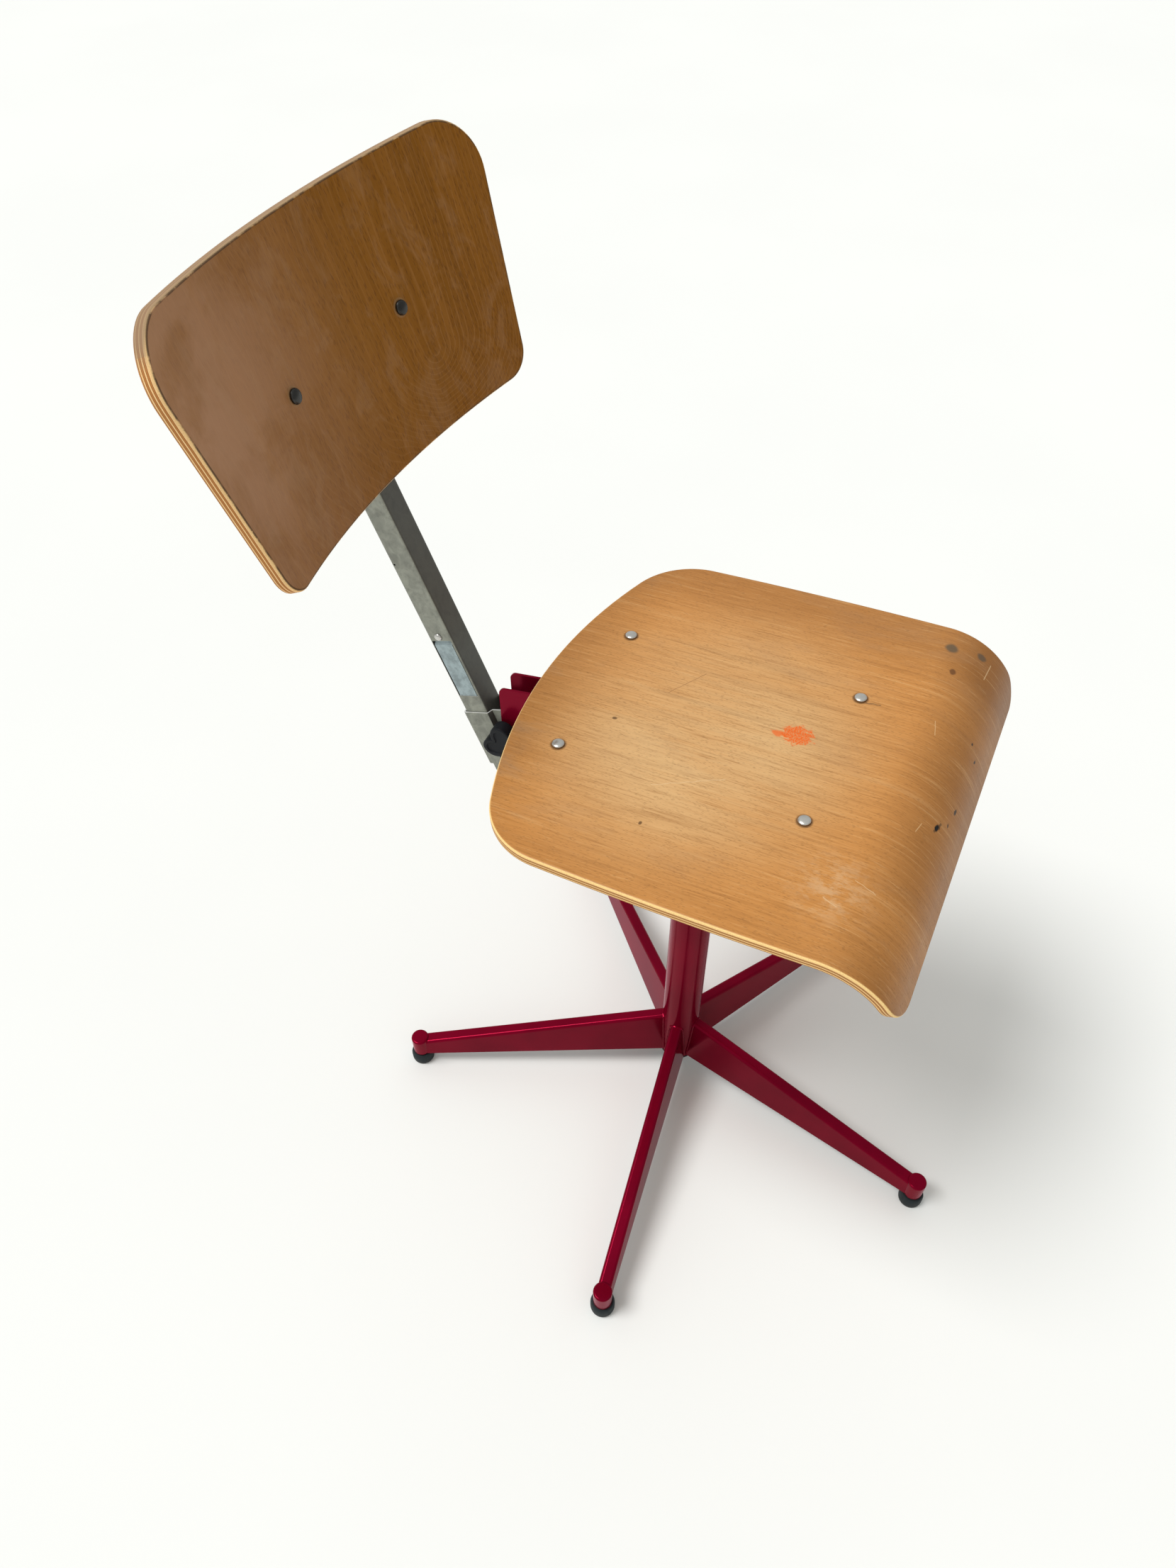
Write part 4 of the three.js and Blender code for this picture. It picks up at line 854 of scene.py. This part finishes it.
# ---------------------------------------------------------------- operators
class CHAIR_OT_legs(bpy.types.Operator):
    """Fold the five legs and weld each to the column"""
    bl_idname = "drafting_chair.legs"
    bl_label = "Legs"

    def execute(self, context):
        p = settings("pedestal")
        axis = column_axis()
        low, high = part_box("column")
        column_radius = (high.x - low.x) / 2
        for i in range(1, LEG_COUNT + 1):
            boss = middle(f"foot_boss_{i}")
            run = Vector((boss.x - axis.x, boss.y - axis.y))
            reach = run.length
            turn = Matrix.Translation(axis) @ Matrix.Rotation(atan2(run.y, run.x), 4, "Z")
            bm = self.folded(p, column_radius * 0.78, reach - 0.005, column_radius, reach)
            self.weld(bm, p, column_radius)
            bmesh.ops.transform(bm, matrix=turn, verts=bm.verts)
            finished(f"folded_leg_{i}", bm, "red_paint", [f"leg_{i}"])
        return {"FINISHED"}

    @staticmethod
    def corners(p, outward):
        """A leg's four corners across it, outward from 0 at the column to 1 at the foot."""
        def at(hub, foot):
            return hub + (foot - hub) * outward
        top = at(p.ridge_top_hub, p.ridge_top_foot)
        floor = at(p.floor_hub, p.floor_foot)
        ridge = at(p.ridge_hub, p.ridge_foot) / 2
        flare = at(p.flare_hub, p.flare_foot) / 2
        return [(flare, floor), (ridge, top), (-ridge, top), (-flare, floor)]

    def folded(self, p, start, end, column_radius, reach):
        bm = bmesh.new()
        rows = []
        for radial in (start, end):
            outward = (radial - column_radius) / (reach - column_radius)
            rows.append([bm.verts.new((radial, y, z)) for y, z in self.corners(p, outward)])
        for row in rows:
            for pair in zip(row, row[1:]):
                bm.edges.new(pair)
        bmesh.ops.bridge_loops(bm, edges=bm.edges[:])
        bmesh.ops.recalc_face_normals(bm, faces=bm.faces)
        top = max(bm.faces, key=lambda f: f.calc_center_median().z)
        if top.normal.z < 0:
            bmesh.ops.reverse_faces(bm, faces=bm.faces)
        rounded_edges(bm, sharp_edges(bm), p.fold, 6)
        bm.normal_update()
        bmesh.ops.solidify(bm, geom=bm.faces[:], thickness=p.sheet)
        rounded_edges(bm, [e for e in sharp_edges(bm, radians(60))
                           if abs(e.verts[0].co.x - e.verts[1].co.x) > 0.1], 0.0005, 2)
        buried = column_radius - p.sheet / 2
        for v in bm.verts:
            if v.co.x < column_radius:
                v.co.x = sqrt(buried ** 2 - v.co.y ** 2)
        return bm

    def weld(self, bm, p, column_radius):
        (flare, floor), (ridge, top) = self.corners(p, 0.0)[:2]
        outline = [(flare, floor + 0.001), (ridge + 0.0006, top - 0.0034), (ridge - 0.0010, top - 0.0010),
                   (ridge - 0.0034, top), (-ridge + 0.0034, top), (-ridge + 0.0010, top - 0.0010),
                   (-ridge - 0.0006, top - 0.0034), (-flare, floor + 0.001)]
        path = []
        for (y1, z1), (y2, z2) in zip(outline, outline[1:]):
            steps = max(1, round(hypot(y2 - y1, z2 - z1) / 0.0035))
            for k in range(steps):
                y = y1 + (y2 - y1) * k / steps
                z = z1 + (z2 - z1) * k / steps
                path.append(Vector((sqrt(column_radius ** 2 - y * y), y, z)))
        y, z = outline[-1]
        path.append(Vector((sqrt(column_radius ** 2 - y * y), y, z)))
        bead(bm, path, p.bead)


class CHAIR_OT_feet(bpy.types.Operator):
    """Turn a boss and a rubber glide for the end of each leg"""
    bl_idname = "drafting_chair.feet"
    bl_label = "Feet"

    def execute(self, context):
        p = settings("pedestal")
        for i in range(1, LEG_COUNT + 1):
            centre = middle(f"foot_boss_{i}")
            spot = Matrix.Translation((centre.x, centre.y, 0))
            low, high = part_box(f"foot_boss_{i}")
            radius = (high.x - low.x) / 2
            top = low.z + BOSS_DEPTH
            boss = turned([(0, top), (BOSS_BORE, top), (BOSS_BORE, low.z), (radius, low.z),
                           (radius, high.z), (0, high.z)], p.boss_edge, spot, 40, segments=5)
            finished(f"turned_boss_{i}", boss, "red_paint", [f"foot_boss_{i}"])
            low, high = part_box(f"glide_{i}")
            radius = (high.x - low.x) / 2
            glide = turned([(0, 0), (radius - 0.0006, 0), (radius, 0.0035),
                            (radius, GLIDE_SHOULDER - 0.0045), (radius - 0.0013, GLIDE_SHOULDER),
                            (GLIDE_PEG, GLIDE_SHOULDER), (GLIDE_PEG, high.z), (0, high.z)],
                           0.0010, spot, 40, segments=4)
            finished(f"moulded_glide_{i}", glide, "rubber", [f"glide_{i}"])
        return {"FINISHED"}


class CHAIR_OT_column(bpy.types.Operator):
    """Make the column, its plug and bush, the clamp's boss and the sliding pillar"""
    bl_idname = "drafting_chair.column"
    bl_label = "Column and pillar"

    def execute(self, context):
        axis = Matrix.Translation(column_axis())
        low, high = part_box("column")
        radius = (high.x - low.x) / 2
        column = pipe(radius - COLUMN_WALL, radius, low.z, high.z, 0.0005, axis, 72)
        finished("column_tube", column, "red_paint", ["column"])
        low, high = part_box("column_foot_plug")
        bore = radius - PLUG_GAP
        plug = turned([(0, low.z), (radius, low.z), (radius, low.z + 0.0037), (bore, low.z + 0.0037),
                       (bore, high.z), (0, high.z)], 0.0008, axis, 64)
        finished("column_end_plug", plug, "black_plastic", ["column_foot_plug"])
        pillar_low, pillar_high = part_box("pillar")
        pillar = (pillar_high.x - pillar_low.x) / 2
        low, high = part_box("column_bush")
        rim = (high.x - low.x) / 2
        flange = high.z - 0.006
        slide = pillar + BUSH_RUN
        bush = turned([(slide, low.z), (bore, low.z), (bore, flange), (rim, flange),
                       (rim, high.z - 0.0014), (rim - 0.0022, high.z), (slide, high.z)],
                      0.0007, axis, 72, closed=True)
        finished("sliding_bush", bush, "black_plastic", ["column_bush"])
        tube = pipe(pillar - PILLAR_WALL, pillar, pillar_low.z, pillar_high.z, 0.0006, axis, 72)
        finished("pillar_tube", tube, "bright_steel", ["pillar"])
        low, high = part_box("thrust_washer")
        washer = pipe(SPINDLE_BORE, (high.x - low.x) / 2, low.z, high.z, 0.0004, axis, 64)
        finished("bearing_washer", washer, "zinc", ["thrust_washer"])
        self.clamp_boss(radius)
        return {"FINISHED"}

    @staticmethod
    def clamp_boss(column_radius):
        centre = middle("clamp_boss")
        low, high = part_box("clamp_boss")
        radius = (high.z - low.z) / 2
        axis = column_axis()
        start = Vector((axis.x, axis.y, centre.z))
        inner = sqrt(column_radius ** 2 - radius ** 2) - 0.0005
        bm = pipe(BOSS_BORE, radius, inner, high.x - axis.x, 0.0009,
                  Matrix.Translation(start) @ ALONG_X, 40)
        path = []
        ring = radius + 0.0003
        for k in range(33):
            turn = 2 * pi * k / 32
            y = ring * cos(turn)
            path.append(start + Vector((sqrt(column_radius ** 2 - y * y), y, ring * sin(turn))))
        bead(bm, path, settings("pedestal").bead * 0.8)
        finished("threaded_boss", bm, "red_paint", ["clamp_boss"])


class CHAIR_OT_bracket(bpy.types.Operator):
    """Make the swivel socket, the bracket channel and the straps under the seat"""
    bl_idname = "drafting_chair.bracket"
    bl_label = "Seat bracket"

    def execute(self, context):
        pitch = settings("seat").pitch
        axis = column_axis()
        low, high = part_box("swivel_socket")
        radius = (high.x - low.x) / 2
        socket = pipe(SOCKET_BORE, radius, low.z, high.z + 0.004, 0.0, Matrix.Translation(axis), 64)
        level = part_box("swivel_socket")[1].z - radius * tan(pitch)
        cut = bmesh.ops.bisect_plane(
            socket, geom=socket.verts[:] + socket.edges[:] + socket.faces[:], clear_outer=True,
            plane_co=axis + Vector((0, 0, level)), plane_no=Vector((0, sin(pitch), cos(pitch))))
        rims = [e for e in cut["geom_cut"] if isinstance(e, bmesh.types.BMEdge)]
        outer = [e for e in rims if (e.verts[0].co - axis).xy.length > 0.015]
        inner = [e for e in rims if (e.verts[0].co - axis).xy.length <= 0.015]
        bmesh.ops.bridge_loops(socket, edges=outer + inner)
        rounded_edges(socket, sharp_edges(socket), 0.0009, 3)
        finished("swivel_bearing", socket, "red_paint", ["swivel_socket"])
        for node, name in (("bracket_channel", "bracket_pressing"), ("front_strap", "front_strap_plate"),
                           ("rear_strap", "rear_strap_plate")):
            finished(name, refined(node, 0.0007, 3), "red_paint", [node])
        return {"FINISHED"}


class CHAIR_OT_seat(bpy.types.Operator):
    """Cut the seat's board and bend its front down"""
    bl_idname = "drafting_chair.seat"
    bl_label = "Seat"

    def execute(self, context):
        p = settings("seat")
        front = -p.bend_start - p.bend_radius * p.bend_angle - p.lip
        bent = spread(-p.bend_start - p.bend_radius * p.bend_angle, -p.bend_start, 0.002)
        bm = board(self.outline(p, front), p.ply, p.rim, bent, 1, self.bend, seat_axes())
        finished("seat_board", bm, "beech_seat", ["seat"])
        return {"FINISHED"}

    @staticmethod
    def outline(p, front):
        w = p.half_width
        side_top = p.rear - p.rear_bow - p.rear_corner
        corner = w - p.rear_corner
        slope = atan2(2 * p.rear_bow, corner)
        halfway = (front + p.front_corner + side_top) / 2
        right = arc((w - p.front_corner, front + p.front_corner), p.front_corner, -pi / 2, 0, 16)
        rear = arc((corner, side_top), p.rear_corner, 0, pi / 2 - slope, 22)
        right += bow(right[-1], (w + 2 * p.belly, halfway), rear[0], 28) + rear
        left = [(-u, v) for u, v in reversed(right)]
        crown = bow(right[-1], (0, 2 * p.rear - right[-1][1]), left[0], 24)
        return right + crown + left

    @staticmethod
    def bend(x, s, depth):
        """Flat to the bend line, then rolled down about an axis across the seat."""
        p = settings("seat")
        over = max(0.0, -p.bend_start - s)
        turn = min(over / p.bend_radius, p.bend_angle)
        straight = max(0.0, over - p.bend_radius * p.bend_angle)
        y = max(s, -p.bend_start) - p.bend_radius * sin(turn) - straight * cos(turn)
        z = -p.bend_radius * (1 - cos(turn)) - straight * sin(turn)
        return Vector((x, y + depth * sin(turn), z - depth * cos(turn)))


def screw_profile(head, height, depth):
    """A domed screw of that head radius on z = 0, its shank below."""
    under = 0.0003
    return [(0, -depth), (SCREW_SHANK, -depth), (SCREW_SHANK, under), (head - 0.0002, under),
            (head, under + height * 0.45), (head * 0.86, height * 0.88),
            (head * 0.55, height + under), (0, height + under)]


class CHAIR_OT_seat_screws(bpy.types.Operator):
    """Set the four seat screws and their nuts"""
    bl_idname = "drafting_chair.seat_screws"
    bl_label = "Seat screws"

    def execute(self, context):
        p = settings("seat")
        axes = seat_axes()
        for side, x in (("right", -p.screw_x), ("left", p.screw_x)):
            for row, y in (("front", -p.screw_front), ("rear", p.screw_rear)):
                place = axes @ Matrix.Translation((x, y, 0))
                screw = turned(screw_profile(0.0056, 0.0024, 0.0206), 0.0004, place, 36)
                finished(f"seat_bolt_{row}_{side}", screw, "bright_steel", [f"seat_screw_{row}_{side}"])
                nut = refined(f"seat_nut_{row}_{side}", 0.0004)
                finished(f"seat_hex_{row}_{side}", nut, "zinc", [f"seat_nut_{row}_{side}"])
        return {"FINISHED"}


class CHAIR_OT_backrest(bpy.types.Operator):
    """Cut the backrest's board, roll it hollow, and make the plate and block behind it"""
    bl_idname = "drafting_chair.backrest"
    bl_label = "Backrest"

    def execute(self, context):
        p = settings("back")
        axes = back_axes()
        rows = spread(-p.half_top, p.half_top, 0.008)[1:-1]
        bm = board(self.outline(p), p.ply, p.rim, rows, 0, self.roll, axes)
        finished("back_board", bm, "beech_back", ["backrest"])
        for side, sign in (("right", -1), ("left", 1)):
            turn = sign * p.screw_arc / p.radius
            foot = self.roll(sign * p.screw_arc, 0, 0)
            place = (axes @ Matrix.Translation(foot) @ Matrix.Rotation(-turn, 4, "Z")
                     @ Matrix.Rotation(pi / 2, 4, "X"))
            screw = turned(screw_profile(0.0062, 0.0036, 0.0209), 0.0004, place, 36)
            # The back screws take the darkened nickel, a painted dark reflection.
            finished(f"back_bolt_{side}", screw, "bright_steel", [f"back_screw_{side}"], "shaded_nickel")
            finished(f"back_hex_{side}", refined(f"back_nut_{side}", 0.0004), "zinc", [f"back_nut_{side}"])
        finished("back_strap", refined("back_plate", 0.0006), "galvanised", ["back_plate"])
        finished("stem_block", refined("back_block", 0.0008), "galvanised", ["back_block"])
        return {"FINISHED"}

    @staticmethod
    def outline(p):
        """The four sides with their corners rounded, drawn along the curve and up."""
        ends = [Vector((-p.half_bottom, -p.half_height)), Vector((p.half_bottom, -p.half_height)),
                Vector((p.half_top, p.half_height)), Vector((-p.half_top, p.half_height))]
        radii = (p.bottom_corner, p.bottom_corner, p.top_corner, p.top_corner)
        points = []
        for i, (here, radius) in enumerate(zip(ends, radii)):
            back = (ends[i - 1] - here).normalized()
            ahead = (ends[(i + 1) % 4] - here).normalized()
            half = back.angle(ahead) / 2
            centre = here + (back + ahead).normalized() * radius / sin(half)
            first = here + back * radius / tan(half) - centre
            sweep = pi - 2 * half
            start = atan2(first.y, first.x)
            points += arc(centre, radius, start, start + sweep, 18)
            if i == 2:
                last = points[-1]
                points += bow(last, (0, p.half_height + 2 * p.crown), (-last[0], last[1]), 20)
        return points

    @staticmethod
    def roll(u, v, depth):
        """Wraps the flat board on to its hollow curve."""
        p = settings("back")
        turn = u / p.radius
        reach = p.radius + depth
        return Vector((reach * sin(turn), reach * cos(turn) - p.radius, v))


class CHAIR_OT_stem(bpy.types.Operator):
    """Make the stem, its detent leaf and plugs, and the carrier it slides in"""
    bl_idname = "drafting_chair.stem"
    bl_label = "Stem and carrier"

    def execute(self, context):
        p = settings("stem")
        finished("stem_tube", refined("back_stem", p.edge, 3), "galvanised", ["back_stem"])
        finished("carrier_pressing", refined("back_carrier", p.edge), "galvanised", ["back_carrier"])
        finished("spring_leaf", refined("detent_leaf", p.edge * 0.5), "zinc", ["detent_leaf"])
        for node, name in (("stem_foot_plug", "stem_lower_cap"), ("stem_top_plug", "stem_upper_cap")):
            finished(name, refined(node, 0.0006, 3), "black_plastic", [node])
        axes = stem_axes()
        seat = Vector((-p.half_width - 0.0003, *RIVET_PLACE))
        place = axes @ Matrix.Translation(seat) @ Matrix.Rotation(-pi / 2, 4, "Y")
        inside = -RIVET_DEPTH
        rivet = turned([(0, inside), (0.0032, inside), (0.0032, inside + 0.001),
                        (0.0018, inside + 0.001), (0.0018, 0), (0.0039, 0), (0.0037, 0.0007),
                        (0.0029, 0.0014), (0.0016, 0.0018), (0, 0.0019)], 0.0, place, 32)
        finished("leaf_rivet", rivet, "bright_steel", ["detent_rivet"])
        return {"FINISHED"}


def cross_knob(radius, thickness, hub_height, place):
    """A moulded knob of four lobes about Z, seated on z = 0, with its middle sunk a little."""
    p = settings("knobs")
    bm = bmesh.new()
    steps = 96
    outline = []
    for k in range(steps):
        turn = 2 * pi * k / steps
        swell = sqrt(0.5 + 0.5 * cos(4 * turn))
        reach = radius * (p.waist + (1 - p.waist) * swell)
        outline.append(bm.verts.new((reach * cos(turn), reach * sin(turn), hub_height)))
    face = bm.faces.new(outline)
    grown = bmesh.ops.extrude_face_region(bm, geom=[face])
    top = [v for v in grown["geom"] if isinstance(v, bmesh.types.BMVert)]
    bmesh.ops.translate(bm, verts=top, vec=(0, 0, thickness - hub_height))
    bmesh.ops.recalc_face_normals(bm, faces=bm.faces)
    rounded_edges(bm, sharp_edges(bm, radians(60)), p.edge, 5)
    upper = [f for f in bm.faces if f.calc_center_median().z > thickness - 1e-6]
    bmesh.ops.inset_region(bm, faces=upper, thickness=0.0026, depth=0.0)
    upper = [f for f in bm.faces if f.calc_center_median().z > thickness - 1e-6 and len(f.verts) > 8]
    bmesh.ops.inset_region(bm, faces=upper, thickness=0.0008, depth=-p.step)
    hub = turned([(0, 0), (radius * p.hub, 0), (radius * p.hub, thickness / 2), (0, thickness / 2)], 0.0004)
    part = bpy.data.meshes.new("hub")
    hub.to_mesh(part)
    hub.free()
    bm.from_mesh(part)
    bpy.data.meshes.remove(part)
    bmesh.ops.transform(bm, matrix=place, verts=bm.verts)
    return bm


class CHAIR_OT_clamps(bpy.types.Operator):
    """Make the two cross knobs with their screw, bolt and washers"""
    bl_idname = "drafting_chair.clamps"
    bl_label = "Clamps"

    def execute(self, context):
        axis = column_axis()
        low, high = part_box("height_clamp_knob")
        height = middle("clamp_boss").z
        radius = (high.z - low.z) / 2
        seat = Matrix.Translation((low.x, axis.y, height)) @ ALONG_X
        knob = cross_knob(radius, high.x - low.x, HEIGHT_KNOB_HUB, seat)
        finished("height_knob", knob, "black_plastic", ["height_clamp_knob"])
        low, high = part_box("height_clamp_screw")
        span = high.x - low.x
        screw_place = Matrix.Translation((low.x, axis.y, height)) @ ALONG_X
        crest, root = 0.004, 0.0034
        thread = [(0, 0), (0.0032, 0)]
        for k in range(int(span / THREAD_PITCH)):
            thread += [(crest, THREAD_PITCH * (k + 0.5)), (root, THREAD_PITCH * (k + 1.0))]
        thread += [(root, span), (0, span)]
        screw = turned(thread, 0.0, screw_place, 28)
        finished("clamp_thread", screw, "bright_steel", ["height_clamp_screw"])
        self.tilt_clamp()
        return {"FINISHED"}

    @staticmethod
    def tilt_clamp():
        pivot = pivot_point()
        low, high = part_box("tilt_clamp_knob")
        turn = settings("knobs").turn
        seat = (Matrix.Translation((high.x, pivot.y, pivot.z)) @ Matrix.Rotation(pi, 4, "Z") @ ALONG_X
                @ Matrix.Rotation(turn, 4, "Z"))
        knob = cross_knob(TILT_KNOB_RADIUS, high.x - low.x, TILT_KNOB_HUB, seat)
        finished("tilt_knob", knob, "black_plastic", ["tilt_clamp_knob"])
        low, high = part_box("pivot_bolt")
        across = Matrix.Translation(pivot) @ ALONG_X
        end, top = low.x - pivot.x, high.x - pivot.x
        start = top - PIVOT_HEAD_HEIGHT
        bolt = turned([(0, end), (PIVOT_SHANK, end), (PIVOT_SHANK, start), (PIVOT_HEAD, start),
                       (PIVOT_HEAD, start + 0.0031), (PIVOT_HEAD - 0.0016, start + PIVOT_HEAD_HEIGHT),
                       (0, start + PIVOT_HEAD_HEIGHT)], 0.0005, across, 36)
        finished("pivot_pin", bolt, "bright_steel", ["pivot_bolt"])
        for side in ("left", "right"):
            low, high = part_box(f"pivot_washer_{side}")
            washer = pipe(WASHER_BORE, WASHER_RADIUS, low.x - pivot.x, high.x - pivot.x, 0.0003,
                          across, 36)
            finished(f"pivot_ring_{side}", washer, "zinc", [f"pivot_washer_{side}"])


class CHAIR_OT_hidden(bpy.types.Operator):
    """Finish the CAD nodes inside the column that are shown as they are"""
    bl_idname = "drafting_chair.hidden"
    bl_label = "Inner pieces"

    def execute(self, context):
        for node, slot in (("pillar_guide", "black_plastic"), ("swivel_spindle", "bright_steel"),
                           ("spindle_nut", "zinc")):
            frame["nodes"][node].material_slots[0].material = finish(slot)
        return {"FINISHED"}


class CHAIR_OT_stage(bpy.types.Operator):
    """Lay the floor, set the lights and the camera"""
    bl_idname = "drafting_chair.stage"
    bl_label = "Stage"

    def execute(self, context):
        p = settings("stage")
        scene = context.scene
        bm = bmesh.new()
        bmesh.ops.create_grid(bm, x_segments=1, y_segments=1, size=FLOOR_HALF)
        bmesh.ops.translate(bm, verts=bm.verts, vec=(0, 0, -FLOOR_DROP))
        mesh = bpy.data.meshes.new("studio_floor")
        bm.to_mesh(mesh)
        bm.free()
        mesh.materials.append(self.floor_finish(p))
        floor = bpy.data.objects.new("studio_floor", mesh)
        scene.collection.objects.link(floor)
        self.surround(scene, p)
        self.sun(scene, p)
        self.camera(scene, p)
        scene.view_settings.view_transform = "Standard"
        return {"FINISHED"}

    @staticmethod
    def floor_finish(p):
        s = Shader("Pale studio floor")
        cloud = s.noise(s.place(), 1.6, 3.0)
        fine = s.noise(s.place(), 260.0, 3.0)
        shade = s.blend(s.ranged(cloud, 0.3, 0.7), tint(p.floor, 0.985), p.floor)
        return s.surface(base_color=shade, roughness=0.85 + fine * 0.1, normal=s.bump(fine, 0.03, 0.0004),
                         specular_ior_level=0.2)

    @staticmethod
    def surround(scene, p):
        """White overhead and round about, a little darker low in front of the chair."""
        world = bpy.data.worlds.new("Studio surround")
        scene.world = world
        world.use_nodes = True
        s = Shader("", world.node_tree)
        direction = s.node("ShaderNodeTexCoord", output=0)
        along, ahead, up = s.parts(direction)
        dim = s.ranged(0 - ahead + along * 0.3 - up * 0.35, 0.1, 0.85)
        shade = s.blend(dim * 0.45, (0.985, 1.0, 0.985), (0.27, 0.27, 0.265))
        sky = s.node("ShaderNodeBackground", None, {0: shade, 1: p.sky})
        out = s.tree.nodes.new("ShaderNodeOutputWorld")
        s.tree.links.new(sky.socket, out.inputs["Surface"])

    @staticmethod
    def sun(scene, p):
        """A large soft key light from behind the chair's right-hand side."""
        data = bpy.data.lights.new("Key", "SUN")
        data.energy = p.key
        data.angle = p.softness
        made = bpy.data.objects.new("Key", data)
        scene.collection.objects.link(made)
        made.location = SUN_PLACE
        made.rotation_euler = Vector(SUN_DIRECTION).to_track_quat("-Z", "Y").to_euler()

    @staticmethod
    def camera(scene, p):
        forward = Vector((cos(p.yaw) * cos(p.down), sin(p.yaw) * cos(p.down), -sin(p.down)))
        right = Vector((sin(p.yaw), -cos(p.yaw), 0))
        below = forward.cross(right)
        right, below = (right * cos(p.roll) + below * sin(p.roll),
                        below * cos(p.roll) - right * sin(p.roll))
        data = bpy.data.cameras.new("Camera")
        data.lens = p.lens
        data.sensor_width = 36.0
        data.clip_end = 100.0
        made = bpy.data.objects.new("Camera", data)
        scene.collection.objects.link(made)
        turn = Matrix((right, -below, -forward)).transposed().to_4x4()
        made.matrix_world = Matrix.Translation((p.camera_x, p.camera_y, p.camera_z)) @ turn
        scene.camera = made


PIECES = (
    CHAIR_OT_legs, CHAIR_OT_feet, CHAIR_OT_column, CHAIR_OT_bracket, CHAIR_OT_seat, CHAIR_OT_seat_screws,
    CHAIR_OT_backrest, CHAIR_OT_stem, CHAIR_OT_clamps, CHAIR_OT_hidden, CHAIR_OT_stage,
)


class CHAIR_PT_panel(bpy.types.Panel):
    """The chair's sizes and pieces"""
    bl_idname = "CHAIR_PT_panel"
    bl_label = "Drafting chair"
    bl_space_type = "VIEW_3D"
    bl_region_type = "UI"
    bl_category = "Chair"

    def draw(self, context):
        for piece in PIECES:
            self.layout.operator(piece.bl_idname)
        for group, kind in GROUPS.items():
            box = self.layout.box()
            box.label(text=group.title())
            for name in kind.__annotations__:
                box.prop(settings(group), name)


def register():
    for group, kind in GROUPS.items():
        bpy.utils.register_class(kind)
        setattr(bpy.types.Scene, "drafting_chair_" + group, bpy.props.PointerProperty(type=kind))
    for kind in (*PIECES, CHAIR_PT_panel):
        bpy.utils.register_class(kind)


def unregister():
    for kind in (CHAIR_PT_panel, *reversed(PIECES)):
        bpy.utils.unregister_class(kind)
    for group, kind in GROUPS.items():
        delattr(bpy.types.Scene, "drafting_chair_" + group)
        bpy.utils.unregister_class(kind)


def main():
    register()
    for piece in PIECES:
        group, name = piece.bl_idname.split(".")
        getattr(getattr(bpy.ops, group), name)()


if __name__ == "__main__":
    main()
